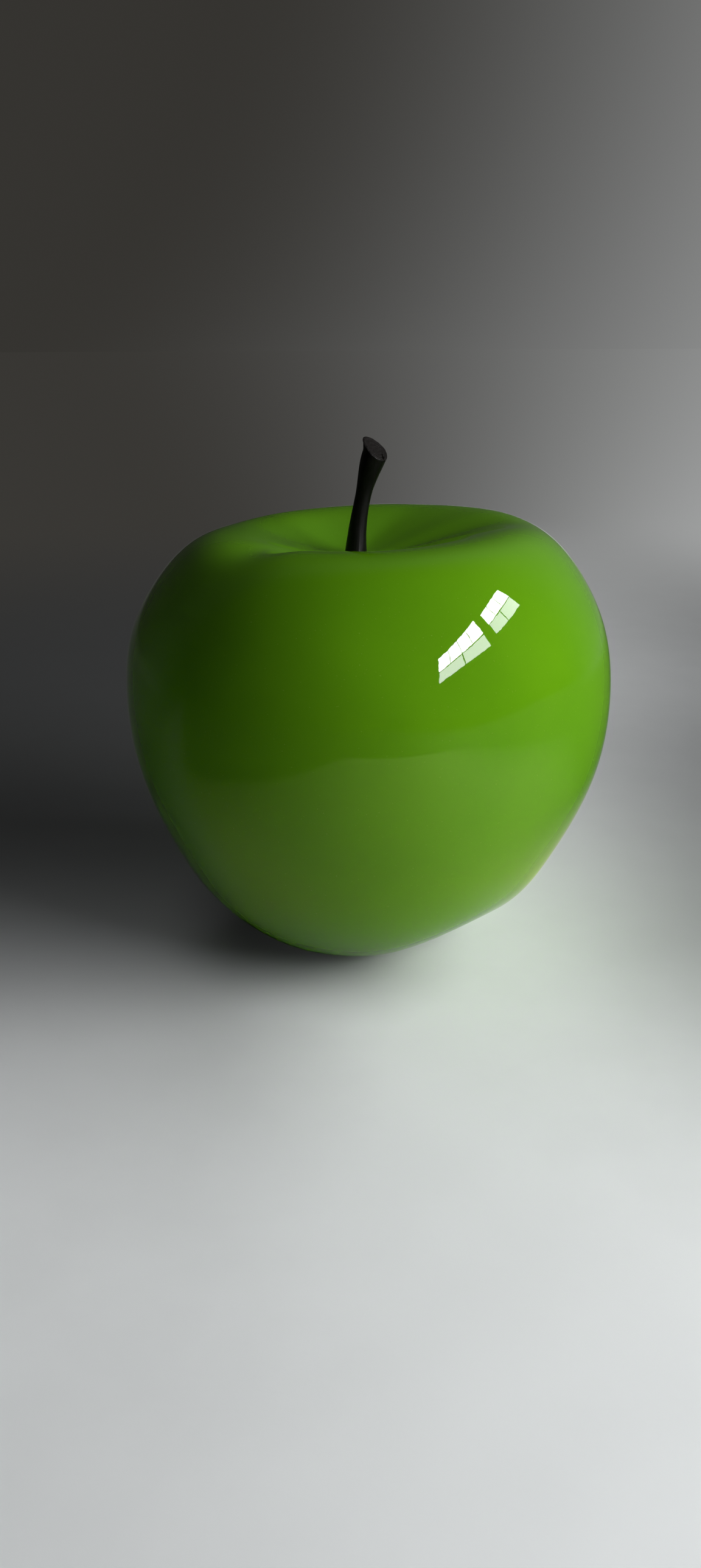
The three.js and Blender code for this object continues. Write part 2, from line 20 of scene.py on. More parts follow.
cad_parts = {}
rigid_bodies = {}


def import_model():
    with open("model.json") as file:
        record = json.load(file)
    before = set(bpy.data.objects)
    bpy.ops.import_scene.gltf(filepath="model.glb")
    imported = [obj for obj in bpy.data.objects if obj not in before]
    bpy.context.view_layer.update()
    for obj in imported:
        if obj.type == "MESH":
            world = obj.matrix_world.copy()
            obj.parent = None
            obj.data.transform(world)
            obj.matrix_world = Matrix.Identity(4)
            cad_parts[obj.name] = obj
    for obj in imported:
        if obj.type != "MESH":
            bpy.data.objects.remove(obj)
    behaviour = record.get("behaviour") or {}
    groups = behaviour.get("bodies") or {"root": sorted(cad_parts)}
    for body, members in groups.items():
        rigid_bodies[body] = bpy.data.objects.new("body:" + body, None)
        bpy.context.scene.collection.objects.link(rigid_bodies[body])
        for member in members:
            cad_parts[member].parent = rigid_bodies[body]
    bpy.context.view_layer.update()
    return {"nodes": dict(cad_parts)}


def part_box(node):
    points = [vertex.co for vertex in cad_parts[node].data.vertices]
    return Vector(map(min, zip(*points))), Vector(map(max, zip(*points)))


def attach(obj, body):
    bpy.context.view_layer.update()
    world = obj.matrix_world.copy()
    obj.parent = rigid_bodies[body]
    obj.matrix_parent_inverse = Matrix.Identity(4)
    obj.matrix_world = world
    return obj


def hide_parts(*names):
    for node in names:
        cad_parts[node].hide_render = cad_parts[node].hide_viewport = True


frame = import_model()

BODY = "root"
ORIGIN = np.array([-0.0000135, 0.0000713, 0.002])
CREASE = math.radians(30)
# How far a cutter stands out of what it cuts.
OVERCUT = 0.001
# A rounded corner takes at most one part in this many of the side next to it.
CORNER_LIMIT = 2.2
SPLINE_ROUNDS = 40
HALVINGS = 40
NEWTON_STEPS = 12
THREAD_SIDES = 48
THREAD_STEPS = 32
# Share of a pitch that stays bare at each end of a thread.
THREAD_RUN_OUT = 0.7
log = logging.getLogger("apple")

Colour = tuple[float, float, float]
Triple = tuple[float, float, float]
Corner = tuple[float, float]
Pair = tuple[float, float]
# A range of a value, low end first, and the two values that it maps onto where they aren't 0 and 1.
Ramp = tuple[float, ...]

BLACK: Colour = (0.0, 0.0, 0.0)


# Node building


class NodeBench:
    """Nodes of one tree, of shaders or of geometry."""

    def __init__(self, tree: bpy.types.NodeTree) -> None:
        """Keeps the tree that nodes are added to."""
        self.tree = tree

    def add(self, kind: str, values: dict | None = None, **settings: object) -> bpy.types.Node:
        """Adds a node.

        Args:
            kind: The node's type.
            values: Input names or numbers, each with a number, a colour or an output to link.
            settings: The node's own properties.

        Returns:
            The node.
        """
        node = self.tree.nodes.new(kind)
        for key, value in settings.items():
            setattr(node, key, value)
        for key, value in (values or {}).items():
            self.feed(node.inputs[key], value)
        return node

    def feed(self, socket: bpy.types.NodeSocket, value: object) -> None:
        """Links an output to a socket, or writes a number or colour on it.

        Args:
            socket: The input to feed.
            value: An output, a number, a vector, or a colour without its alpha.
        """
        if isinstance(value, bpy.types.NodeSocket):
            self.tree.links.new(value, socket)
        elif socket.type == "RGBA":
            socket.default_value = (*value, 1.0)
        else:
            socket.default_value = value

    def maths(self, operation: str, a: object, b: object = 0.0) -> bpy.types.NodeSocket:
        """Result of a maths node on two values."""
        return self.add("ShaderNodeMath", {0: a, 1: b}, operation=operation).outputs[0]

    def product(self, first: object, *others: object) -> bpy.types.NodeSocket:
        """Product of values, multiplied in order.

        Args:
            first: The first value.
            others: The values that it is multiplied by.

        Returns:
            The product.
        """
        result = first
        for other in others:
            result = self.maths("MULTIPLY", result, other)
        return result


class NodeSheet(NodeBench):
    """Shader nodes of one tree, and the coordinates that they read."""

    def __init__(self, tree: bpy.types.NodeTree, coordinates: str) -> None:
        """Keeps the tree and its coordinates, which are given by name."""
        super().__init__(tree)
        self.place = self.add("ShaderNodeTexCoord").outputs[coordinates]

    def stretched(self, scale: Sequence[float], turn: Sequence[float] = (0, 0, 0)) -> bpy.types.NodeSocket:
        """Object coordinates, turned and then scaled by a factor along each axis."""
        values = {"Vector": self.place, "Scale": tuple(scale), "Rotation": tuple(turn)}
        return self.add("ShaderNodeMapping", values).outputs["Vector"]

    def speckle(
        self, size: float, detail: float = 2.0, place: bpy.types.NodeSocket | None = None
    ) -> bpy.types.NodeSocket:
        """Soft noise from 0 to 1 with grains of a size in metres, with finer layers, at given coordinates or plain."""
        values = {"Vector": place or self.place, "Scale": 1 / size, "Detail": detail}
        return self.add("ShaderNodeTexNoise", values).outputs["Fac"]

    def spread(
        self, value: bpy.types.NodeSocket, low: float, high: float, to_low: float = 0.0, to_high: float = 1.0
    ) -> bpy.types.NodeSocket:
        """Maps a range of a value smoothly onto another range."""
        values = {0: value, 1: low, 2: high, 3: to_low, 4: to_high}
        return self.add("ShaderNodeMapRange", values, interpolation_type="SMOOTHSTEP").outputs[0]

    def patches(
        self, size: float, detail: float, ramp: Ramp, place: bpy.types.NodeSocket | None = None
    ) -> bpy.types.NodeSocket:
        """Soft noise whose contrast a ramp sets."""
        return self.spread(self.speckle(size, detail, place), *ramp)

    def blend(self, share: object, first: object, second: object) -> bpy.types.NodeSocket:
        """Value that goes from the first to the second with a share."""
        return self.add("ShaderNodeMix", {0: share, 2: first, 3: second}).outputs[0]

    def mixed(self, share: object, first: object, second: object) -> bpy.types.NodeSocket:
        """Colour that goes from the first to the second with a share."""
        return self.add("ShaderNodeMix", {0: share, 6: first, 7: second}, data_type="RGBA").outputs[2]

    def relief(
        self, height: bpy.types.NodeSocket, depth: float, under: bpy.types.NodeSocket | None = None
    ) -> bpy.types.NodeSocket:
        """Normal of a surface with a relief.

        Args:
            height: The relief, from 0 to 1.
            depth: Its depth in metres.
            under: The normal of another relief that it is laid over, or None.

        Returns:
            The normal.
        """
        node = self.add("ShaderNodeBump", {"Height": height, "Distance": depth, "Strength": 1.0})
        if under:
            self.feed(node.inputs["Normal"], under)
        return node.outputs["Normal"]

    def axes(self) -> tuple[bpy.types.NodeSocket, bpy.types.NodeSocket, bpy.types.NodeSocket]:
        """The sheet's coordinates, one by one."""
        parts = self.add("ShaderNodeSeparateXYZ", {0: self.place}).outputs
        return parts["X"], parts["Y"], parts["Z"]


class ShaderSheet(NodeSheet):
    """One procedural material, built from nodes that read Object coordinates."""

    def __init__(self, name: str) -> None:
        """Starts a material with a principled shader.

        Args:
            name: The material's name.
        """
        self.material = bpy.data.materials.new(name)
        self.material.use_nodes = True
        super().__init__(self.material.node_tree, "Object")
        self.shader = self.tree.nodes["Principled BSDF"]

    def set(self, **values: object) -> None:
        """Feeds the principled shader's sockets; an underscore in a name stands for a space."""
        for key, value in values.items():
            self.feed(self.shader.inputs[key.replace("_", " ")], value)


# Finishes


@dataclass(frozen=True)
class Finish:
    """A finish of one of the apple's pieces."""

    slot: str

    def dress(self, sheet: ShaderSheet) -> None:
        """Sets the shader's nodes; each finish has its own."""
        raise NotImplementedError

    def material(self) -> bpy.types.Material:
        """Finds the finish's material, or makes it on first use.

        Returns:
            The material.
        """
        name = f"finish_{self.slot}_{type(self).__name__}"
        found = bpy.data.materials.get(name)
        if found:
            return found
        sheet = ShaderSheet(name)
        self.dress(sheet)
        return sheet.material


@dataclass(frozen=True)
class Lacquer(Finish):
    """Opaque green colour coat under a thick clear coat, sprayed over hand-finished laminate."""

    slot: str = "green_lacquer"
    fresh: Colour = (0.109, 0.296, 0.0048)
    deep: Colour = (0.097, 0.275, 0.0042)
    drift_size: float = 0.09
    drift: Ramp = (0.3, 0.7)
    dust_size: float = 0.0009
    dust: Ramp = (0.80, 0.86, 0.0, 0.25)
    dust_colour: Colour = (0.3, 0.45, 0.1)
    wave_size: float = 0.034
    wave_depth: float = 0.00003
    peel_size: float = 0.0026
    peel_depth: float = 0.000006
    roughness: float = 0.42
    coat_roughness: float = 0.018
    coat_ior: float = 1.45

    def dress(self, sheet: ShaderSheet) -> None:
        """Sets colour drift, orange peel, hand-sanded waves and a little dust under the clear coat.

        Args:
            sheet: The material's nodes.
        """
        colour = sheet.mixed(sheet.patches(self.drift_size, 3, self.drift), self.deep, self.fresh)
        colour = sheet.mixed(sheet.patches(self.dust_size, 0, self.dust), colour, self.dust_colour)
        waves = sheet.relief(sheet.speckle(self.wave_size, 1), self.wave_depth)
        peel = sheet.relief(sheet.speckle(self.peel_size, 1), self.peel_depth, waves)
        sheet.set(Base_Color=colour, Roughness=self.roughness, Specular_IOR_Level=0.0, Normal=peel)
        sheet.set(Coat_Weight=1.0, Coat_Roughness=self.coat_roughness, Coat_IOR=self.coat_ior, Coat_Normal=peel)


@dataclass(frozen=True)
class Laminate(Finish):
    """Bare inside of the moulding: resin over chopped glass strands."""

    slot: str = "green_lacquer"
    resin: Colour = (0.30, 0.34, 0.13)
    strand: Colour = (0.46, 0.48, 0.28)
    strand_length: float = 0.021
    strand_edge: Ramp = (0.45, 0.62)
    strand_depth: float = 0.0002
    strand_lies: tuple[tuple[Triple, Triple], ...] = (((1, 6, 6), (0.3, 0.2, 0.7)), ((6, 1, 6), (0.5, 0.1, -0.4)))
    cloud_size: float = 0.03
    sheen: Ramp = (0, 1, 0.25, 0.5)

    def dress(self, sheet: ShaderSheet) -> None:
        """Sets crossing strands that show through the resin and stand a little proud.

        Args:
            sheet: The material's nodes.
        """
        layers = [sheet.patches(self.strand_length, 2, self.strand_edge, sheet.stretched(*lie))
                  for lie in self.strand_lies]
        strands = sheet.maths("MAXIMUM", *layers)
        share = sheet.product(strands, sheet.speckle(self.cloud_size))
        sheet.set(Base_Color=sheet.mixed(share, self.resin, self.strand))
        sheet.set(Roughness=sheet.spread(strands, *self.sheen), Normal=sheet.relief(strands, self.strand_depth))


@dataclass(frozen=True)
class CastResin(Finish):
    """Satin black casting of the stem, with the faint long grain of the stalk it was moulded from."""

    slot: str = "cast_resin"
    black: Colour = (0.0016, 0.0014, 0.0011)
    worn: Colour = (0.006, 0.005, 0.0042)
    wear: Ramp = (0.5, 0.8)
    grain_size: float = 0.0009
    grain_stretch: Triple = (1, 1, 0.06)
    grain_depth: float = 0.00006
    tooth_size: float = 0.00025
    tooth_depth: float = 0.00001
    sheen_size: float = 0.004
    sheen: Ramp = (0.2, 0.8, 0.36, 0.5)
    gloss: float = 0.2

    def dress(self, sheet: ShaderSheet) -> None:
        """Sets the long grain, a fine tooth and a slightly uneven sheen.

        Args:
            sheet: The material's nodes.
        """
        grain = sheet.speckle(self.grain_size, 3, sheet.stretched(self.grain_stretch))
        furrows = sheet.relief(grain, self.grain_depth)
        sheet.set(Base_Color=sheet.mixed(sheet.spread(grain, *self.wear), self.black, self.worn))
        sheet.set(Roughness=sheet.patches(self.sheen_size, 2, self.sheen), Specular_IOR_Level=self.gloss)
        sheet.set(Normal=sheet.relief(sheet.speckle(self.tooth_size), self.tooth_depth, furrows))


@dataclass(frozen=True)
class CutEnd(Finish):
    """Cut face of the stem: dull grey brown, with rings round the stalk's heart and darker pits."""

    slot: str = "cast_resin"
    pale: Colour = (0.0085, 0.0068, 0.006)
    dark: Colour = (0.005, 0.0042, 0.0039)
    heart: Triple = (0.0042, 0.0, 0.294)
    ring_size: float = 0.0011
    ring_wobble: float = 2.5
    ring_detail: float = 2.0
    ring_tone: Ramp = (0, 1, 0.55, 1.0)
    pit_size: float = 0.0007
    pits: Ramp = (0.35, 0.6)
    depth: float = 0.00009
    roughness: float = 0.62
    gloss: float = 0.1

    def dress(self, sheet: ShaderSheet) -> None:
        """Sets uneven rings about the heart, pits and a matt tooth.

        Args:
            sheet: The material's nodes.
        """
        shift = sheet.add("ShaderNodeMapping", {"Vector": sheet.place, "Location": tuple(-v for v in self.heart)})
        values = {"Vector": shift.outputs["Vector"], "Scale": 0.1 / self.ring_size, "Distortion": self.ring_wobble,
                  "Detail": self.ring_detail, "Detail Scale": self.ring_detail}
        rings = sheet.add("ShaderNodeTexWave", values, wave_type="RINGS", rings_direction="SPHERICAL").outputs["Fac"]
        tone = sheet.product(sheet.spread(rings, *self.ring_tone), sheet.patches(self.pit_size, 3, self.pits))
        sheet.set(Base_Color=sheet.mixed(tone, self.dark, self.pale), Roughness=self.roughness)
        sheet.set(Specular_IOR_Level=self.gloss, Normal=sheet.relief(tone, self.depth))


@dataclass(frozen=True)
class PlatedSteel(Finish):
    """Zinc-plated steel with fine turning marks and a slightly clouded bright film."""

    slot: str = "zinc_steel"
    bright: Colour = (0.72, 0.73, 0.74)
    cloudy: Colour = (0.58, 0.59, 0.56)
    cloud_size: float = 0.006
    cloud: Ramp = (0.3, 0.7)
    polish: Ramp = (0, 1, 0.24, 0.42)
    mark_size: float = 0.0004
    mark_stretch: Triple = (1, 1, 5)
    mark_depth: float = 0.000012

    def dress(self, sheet: ShaderSheet) -> None:
        """Sets the cloudy film, small scratches and uneven polish.

        Args:
            sheet: The material's nodes.
        """
        cloud = sheet.patches(self.cloud_size, 3, self.cloud)
        marks = sheet.speckle(self.mark_size, 2, sheet.stretched(self.mark_stretch))
        sheet.set(Base_Color=sheet.mixed(cloud, self.bright, self.cloudy), Metallic=1.0)
        sheet.set(Roughness=sheet.spread(cloud, *self.polish), Normal=sheet.relief(marks, self.mark_depth))


@dataclass(frozen=True)
class GlassTape(Finish):
    """Woven glass tape wetted with resin, its strands running round the body and up it."""

    slot: str = "glass_tape"
    resin: Colour = (0.36, 0.33, 0.17)
    strand: Colour = (0.60, 0.58, 0.42)
    strand_pitch: float = 0.0032
    girth_radius: float = 0.14
    weave_depth: float = 0.00025
    cloud_size: float = 0.02
    cloud: Ramp = (0.2, 0.7)
    roughness: float = 0.45

    def dress(self, sheet: ShaderSheet) -> None:
        """Sets a plain weave on the angle round the body and the height.

        Args:
            sheet: The material's nodes.
        """
        right, back, up = sheet.axes()
        angle = sheet.maths("ARCTAN2", back, right)
        strands = round(math.pi * self.girth_radius / self.strand_pitch)
        across = sheet.maths("SINE", sheet.product(angle, strands))
        upright = sheet.maths("SINE", sheet.product(up, math.pi / self.strand_pitch))
        weave = sheet.product(across, upright)
        tone = sheet.product(sheet.spread(weave, -1, 1), sheet.patches(self.cloud_size, 2, self.cloud))
        sheet.set(Base_Color=sheet.mixed(tone, self.resin, self.strand), Roughness=self.roughness)
        sheet.set(Normal=sheet.relief(weave, self.weave_depth))


@dataclass(frozen=True)
class Plywood(Finish):
    """Birch plywood: grained faces and an edge of thin plies that change direction."""

    slot: str = "plywood"
    pale: Colour = (0.60, 0.40, 0.20)
    dark: Colour = (0.40, 0.23, 0.095)
    ply_thickness: float = 0.0015
    ply_tone: Ramp = (-0.4, 0.2, 0.45, 1.0)
    grain_size: float = 0.004
    grain_stretch: Triple = (0.12, 1, 1)
    grain_tone: Ramp = (0.35, 0.65)
    grain_depth: float = 0.0001
    roughness: float = 0.72

    def dress(self, sheet: ShaderSheet) -> None:
        """Sets the grain along X and bands of plies up Z.

        Args:
            sheet: The material's nodes.
        """
        grain = sheet.speckle(self.grain_size, 4, sheet.stretched(self.grain_stretch))
        plies = sheet.maths("SINE", sheet.product(sheet.axes()[2], math.pi / self.ply_thickness))
        tone = sheet.product(sheet.spread(grain, *self.grain_tone), sheet.spread(plies, *self.ply_tone))
        sheet.set(Base_Color=sheet.mixed(tone, self.dark, self.pale), Roughness=self.roughness)
        sheet.set(Normal=sheet.relief(grain, self.grain_depth))


@dataclass(frozen=True)
class MouldedPlastic(Finish):
    """Black moulded cover with a fine spark-eroded grain and a few pale rubs."""

    slot: str = "black_plastic"
    black: Colour = (0.0105, 0.0110, 0.0120)
    rubbed: Colour = (0.030, 0.031, 0.033)
    rub_size: float = 0.006
    rub_lie: tuple[Triple, Triple] = ((0.5, 2, 1), (0, 0, 0.6))
    rubs: Ramp = (0.6, 0.75, 0, 0.6)
    grain_size: float = 0.00045
    grain_depth: float = 0.00004
    roughness: float = 0.52

    def dress(self, sheet: ShaderSheet) -> None:
        """Sets the grain and the rubs.

        Args:
            sheet: The material's nodes.
        """
        rubs = sheet.patches(self.rub_size, 3, self.rubs, sheet.stretched(*self.rub_lie))
        sheet.set(Base_Color=sheet.mixed(rubs, self.black, self.rubbed), Roughness=self.roughness)
        sheet.set(Normal=sheet.relief(sheet.speckle(self.grain_size), self.grain_depth))


@dataclass(frozen=True)
class SoftRubber(Finish):
    """Dark rubber of the foot pads, matt, with dust worked into it."""

    slot: str = "soft_rubber"
    rubber: Colour = (0.021, 0.021, 0.022)
    dust: Colour = (0.085, 0.083, 0.078)
    dust_size: float = 0.003
    dust_patches: Ramp = (0.5, 0.75, 0, 0.6)
    tooth_size: float = 0.0003
    tooth_depth: float = 0.00003
    roughness: float = 0.86

    def dress(self, sheet: ShaderSheet) -> None:
        """Sets the dust and a fine tooth.

        Args:
            sheet: The material's nodes.
        """
        patches = sheet.patches(self.dust_size, 4, self.dust_patches)
        sheet.set(Base_Color=sheet.mixed(patches, self.rubber, self.dust), Roughness=self.roughness)
        sheet.set(Normal=sheet.relief(sheet.speckle(self.tooth_size), self.tooth_depth))


@dataclass(frozen=True)
class Backdrop:
    """Pale backdrop with a painted shade that darkens it softly towards the back left.

    Attributes:
        pale: Its colour in most directions.
        shade: Its colour in the darkest direction, the painted shade.
        darkest: That direction.
        turn: How it goes from pale to shade, over how near a direction is to the darkest one.
        mirrored: How much of it the lacquer mirrors, over how far a direction points to the back.
    """

    pale: Colour = (0.355, 0.362, 0.362)
    shade: Colour = (0.036, 0.034, 0.030)
    darkest: Triple = (-0.45, 0.84, 0.30)
    turn: Ramp = (0.53, 0.93)
    mirrored: Ramp = (0.1, 0.7, 0.0, 0.4)

    def colour(self, sheet: NodeSheet) -> bpy.types.NodeSocket:
        """Colour in the direction of the sheet's coordinates.

        Args:
            sheet: The nodes to add to.

        Returns:
            The colour.
        """
        ahead = sheet.add("ShaderNodeVectorMath", {0: sheet.place}, operation="NORMALIZE").outputs[0]
        node = sheet.add("ShaderNodeVectorMath", {0: ahead, 1: self.darkest}, operation="DOT_PRODUCT")
        return sheet.mixed(sheet.spread(node.outputs["Value"], *self.turn), self.pale, self.shade)


@dataclass(frozen=True)
class StudioPaper(Finish):
    """Pale paper with painted light and shade in its colour, darker away from the lamps, that runs into the backdrop
    far off.

    Its ramps run over metres to the right, metres to the back, or metres from the middle, as their comments say.
    """

    slot: str = "studio"
    pale: Colour = (0.915, 0.938, 0.95)
    # The paper's colour in the light it bounces onto the apple; the painted shade darkens it too.
    bounce: Colour = (0.70, 0.71, 0.71)
    # Below: the paper's painted tint in reflections, then its painted dark beyond its edges, in reflections and in the
    # light it bounces.
    warm: Colour = (0.80, 0.88, 0.38)
    dim: Colour = (0.045, 0.044, 0.04)
    # A painted glow of the paper for the camera only, at a share of its painted level.
    lift: float = 0.06
    roughness: float = 0.6
    gloss: float = 0.3
    # How it runs into the backdrop, from the middle.
    fade: Ramp = (0.6, 1.7)
    # Its uneven tone: the size of the patches, and their ramp.
    mottle_size: float = 0.05
    mottle: Ramp = (0.2, 0.8, 0.96, 1.0)
    # Left of the apple: painted shade, darker to the back, twice over.
    lee: tuple[Ramp, Ramp] = ((-0.34, 0.10, 0.92, 0.13), (0.02, 0.22, 1.0, 0.5))
    # Right of it: a strip of painted shade beyond the apple, whose sides come nearer to the back, and a far part with
    # painted falloff.
    strip_taper: Ramp = (-0.05, 0.6, 1.0, 0.5)
    strip_side: Ramp = (0.03, 0.27)
    strip_start: Ramp = (-0.36, -0.02)
    strip_level: float = 0.32
    far_level: Ramp = (0.0, 0.35, 1.0, 0.72)
    # Where the painted shade on the left goes over into the painted level on the right, which spreads out to the back.
    turn_shift: float = 0.03
    turn_taper: Ramp = (-0.05, 0.35, 1.0, 0.35)
    turn_side: Ramp = (0.06, -0.06)
    # Painted shade under the apple, to the left of its middle, and painted falloff of light far off in front.
    under_side: Ramp = (0.07, -0.01)
    under: Ramp = (0.07, 0.145, 0.45, 1.0)
    calm_front: Ramp = (0.1, -0.15)
    calm: Ramp = (0.45, 1.3, 1.0, 0.35)
    # What the lacquer mirrors, painted into the paper's colour for reflections only: the paper's front edge, its
    # slanting left edge and its weaker left part.
    softness: float = 0.035
    front_edge: float = -0.72
    left_edge: float = -0.385
    left_slant: Pair = (0.921, 0.388)
    left_level: Ramp = (-0.45, 0.02, 0.15, 1.0)
    # Its right end in the painted reflection, in front and at the back, where the end leans over by a share of the way
    # to the back.
    end_turn: Ramp = (-0.2, 0.1)
    end_front: Ramp = (0.70, 0.28)
    end_lean: float = 0.25
    end_back: Ramp = (0.26, 0.10)
    # Where the painted reflection shows the paper as the camera sees it, with its painted level: near the middle, at
    # the back, and left of the apple.
    plain_near: Ramp = (0.15, 0.08)
    plain_back: Ramp = (-0.1, 0.3)
    plain_left: Ramp = (-0.12, 0.0)

    def dress(self, sheet: ShaderSheet) -> None:
        """Sets what the camera sees of the paper, what lights the apple from below and what its lacquer mirrors, each
        with painted light and shade.

        Args:
            sheet: The material's nodes.
        """
        right, back, _ = sheet.axes()
        reach = sheet.add("ShaderNodeVectorMath", {0: sheet.place}, operation="LENGTH").outputs["Value"]
        path = sheet.add("ShaderNodeLightPath")
        is_camera, is_glossy = path.outputs["Is Camera Ray"], path.outputs["Is Glossy Ray"]
        fade = sheet.spread(reach, *self.fade)
        turn = sheet.product(sheet.maths("ADD", right, self.turn_shift), sheet.spread(back, *self.turn_taper))
        away = sheet.spread(turn, *self.turn_side)
        # The painted level of the paper, left and right of the apple.
        painted_open_level = sheet.blend(away, self.right_level(sheet, right, back), self.left_lee(sheet, back))
        # Painted contact shadow under the apple, and painted falloff far off in front.
        under = sheet.blend(sheet.spread(right, *self.under_side), 1.0, sheet.spread(reach, *self.under))
        calm = sheet.blend(sheet.spread(back, *self.calm_front), 1.0, sheet.spread(reach, *self.calm))
        # All the painted light and shade that the camera sees on the paper.
        level = sheet.product(painted_open_level, under, calm)
        mottle = sheet.patches(self.mottle_size, 5, self.mottle)
        seen = sheet.mixed(sheet.product(level, mottle, sheet.maths("SUBTRACT", 1.0, fade)), BLACK, self.pale)
        # Painted reflection: the paper's edges and ends, and its painted level near the apple, which only the lacquer
        # sees.
        front = sheet.spread(back, self.front_edge - self.softness, self.front_edge + self.softness)
        plain = sheet.maths("MAXIMUM", sheet.spread(reach, *self.plain_near), sheet.spread(back, *self.plain_back))
        plain = sheet.maths("MAXIMUM", plain, sheet.product(away, sheet.spread(back, *self.plain_left)))
        edged = sheet.product(front, self.mirrored_left(sheet, right, back))
        mirrored = sheet.product(sheet.blend(plain, edged, level), self.mirrored_end(sheet, right, back))
        mirror = sheet.mixed(mirrored, self.dim, sheet.mixed(plain, self.warm, self.pale))
        # Painted shade in the light that the paper bounces onto the apple.
        bounced = sheet.mixed(sheet.product(painted_open_level, front), self.dim, self.bounce)
        colour = sheet.mixed(is_camera, sheet.mixed(is_glossy, bounced, mirror), seen)
        sheet.set(Base_Color=colour, Roughness=self.roughness, Specular_IOR_Level=self.gloss)
        backdrop = Backdrop()
        glow = sheet.product(fade, sheet.spread(sheet.maths("DIVIDE", back, reach), *backdrop.mirrored))
        # Painted glow: near the middle the paper glows for the camera at a share of its painted level; far off it
        # glows with the backdrop's colour, also in reflections to the back.
        lift = sheet.mixed(sheet.product(level, self.lift), BLACK, self.pale)
        sheet.set(Emission_Color=sheet.mixed(fade, lift, backdrop.colour(sheet)))
        sheet.set(Emission_Strength=sheet.blend(is_glossy, is_camera, glow))

    def left_lee(self, sheet: ShaderSheet, back: bpy.types.NodeSocket) -> bpy.types.NodeSocket:
        """Level of the painted shade on the paper to the left of the apple."""
        return sheet.product(*(sheet.spread(back, *ramp) for ramp in self.lee))

    def right_level(
        self, sheet: ShaderSheet, right: bpy.types.NodeSocket, back: bpy.types.NodeSocket
    ) -> bpy.types.NodeSocket:
        """Level of the painted light and shade on the paper to the right of the apple.

        Args:
            sheet: The material's nodes.
            right: Metres to the right.
            back: Metres to the back.

        Returns:
            The level.
        """
        across = sheet.product(right, sheet.spread(back, *self.strip_taper))
        painted_strip = sheet.product(sheet.spread(across, *self.strip_side), sheet.spread(back, *self.strip_start))
        return sheet.product(sheet.blend(painted_strip, 1.0, self.strip_level), sheet.spread(back, *self.far_level))

    def mirrored_left(
        self, sheet: ShaderSheet, right: bpy.types.NodeSocket, back: bpy.types.NodeSocket
    ) -> bpy.types.NodeSocket:
        """Share of the paper that the lacquer mirrors, as its painted reflection falls off to the left.

        Args:
            sheet: The material's nodes.
            right: Metres to the right.
            back: Metres to the back.

        Returns:
            The share.
        """
        along = [sheet.product(value, share) for value, share in zip((right, back), self.left_slant)]
        slant = sheet.maths("ADD", *along)
        edge = sheet.spread(slant, self.left_edge - self.softness, self.left_edge + self.softness)
        return sheet.product(edge, sheet.spread(right, *self.left_level))

    def mirrored_end(
        self, sheet: ShaderSheet, right: bpy.types.NodeSocket, back: bpy.types.NodeSocket
    ) -> bpy.types.NodeSocket:
        """Share of the paper that the lacquer mirrors, as its painted reflection ends at the right.

        Args:
            sheet: The material's nodes.
            right: Metres to the right.
            back: Metres to the back.

        Returns:
            The share.
        """
        leaning = sheet.maths("SUBTRACT", right, sheet.product(back, self.end_lean))
        ends = sheet.spread(right, *self.end_front), sheet.spread(leaning, *self.end_back)
        return sheet.blend(sheet.spread(back, *self.end_turn), *ends)


# Mesh building


def rounded(corners: Sequence[Corner], radius: float, closed: bool = True, steps: int = 4) -> list[Corner]:
    """Rounds the corners of a flat outline.

    Args:
        corners: The outline's corners.
        radius: How far from each corner its curve starts.
        closed: Whether the outline closes; an open one keeps its two ends.
        steps: How many pieces each curve has.

    Returns:
        The rounded outline.
    """
    count = len(corners)
    result: list[Corner] = []
    for i, corner in enumerate(corners):
        here = Vector(corner)
        if not closed and i in (0, count - 1):
            result.append(tuple(here))
            continue
        before, after = Vector(corners[i - 1]), Vector(corners[(i + 1) % count])
        start = here + (before - here).normalized() * min(radius, (before - here).length / CORNER_LIMIT)
        end = here + (after - here).normalized() * min(radius, (after - here).length / CORNER_LIMIT)
        for step in range(steps + 1):
            s = step / steps
            result.append(tuple(start * (1 - s) ** 2 + here * 2 * s * (1 - s) + end * s**2))
    return result


def make_mesh(name: str, points: np.ndarray, faces: Sequence[Sequence[int]]) -> bpy.types.Mesh:
    """Makes a mesh whose faces point outwards.

    Args:
        name: The mesh's name.
        points: Its vertices, one row each.
        faces: Its faces, as vertex numbers, all turned the same way.

    Returns:
        The mesh, with smooth faces.
    """
    volume = 0.0
    for face in faces:
        for k in range(1, len(face) - 1):
            volume += float(np.dot(points[face[0]], np.cross(points[face[k]], points[face[k + 1]])))
    turned = faces if volume > 0 else [tuple(reversed(face)) for face in faces]
    mesh = bpy.data.meshes.new(name)
    mesh.from_pydata(points.tolist(), [], turned)
    mesh.shade_smooth()
    return mesh


def loft_mesh(name: str, rings: Sequence[np.ndarray], poles: Sequence[np.ndarray] = ()) -> bpy.types.Mesh:
    """Closed surface through rings of equal length.

    Args:
        name: The mesh's name.
        rings: The rings, in order.
        poles: A point that closes each end; without them the last ring joins the first.

    Returns:
        The mesh.
    """
    columns = len(rings[0])
    points = np.concatenate([np.concatenate(rings), np.array(poles).reshape(-1, 3)])
    bands = len(rings) - 1 if len(poles) else len(rings)
    faces: list[tuple[int, ...]] = []
    for i in range(bands):
        here, there = i * columns, ((i + 1) % len(rings)) * columns
        faces += [(here + j, there + j, there + (j + 1) % columns, here + (j + 1) % columns) for j in range(columns)]
    if len(poles):
        last, pole = (len(rings) - 1) * columns, len(rings) * columns
        faces += [(pole, j, (j + 1) % columns) for j in range(columns)]
        faces += [(pole + 1, last + (j + 1) % columns, last + j) for j in range(columns)]
    return make_mesh(name, points, faces)


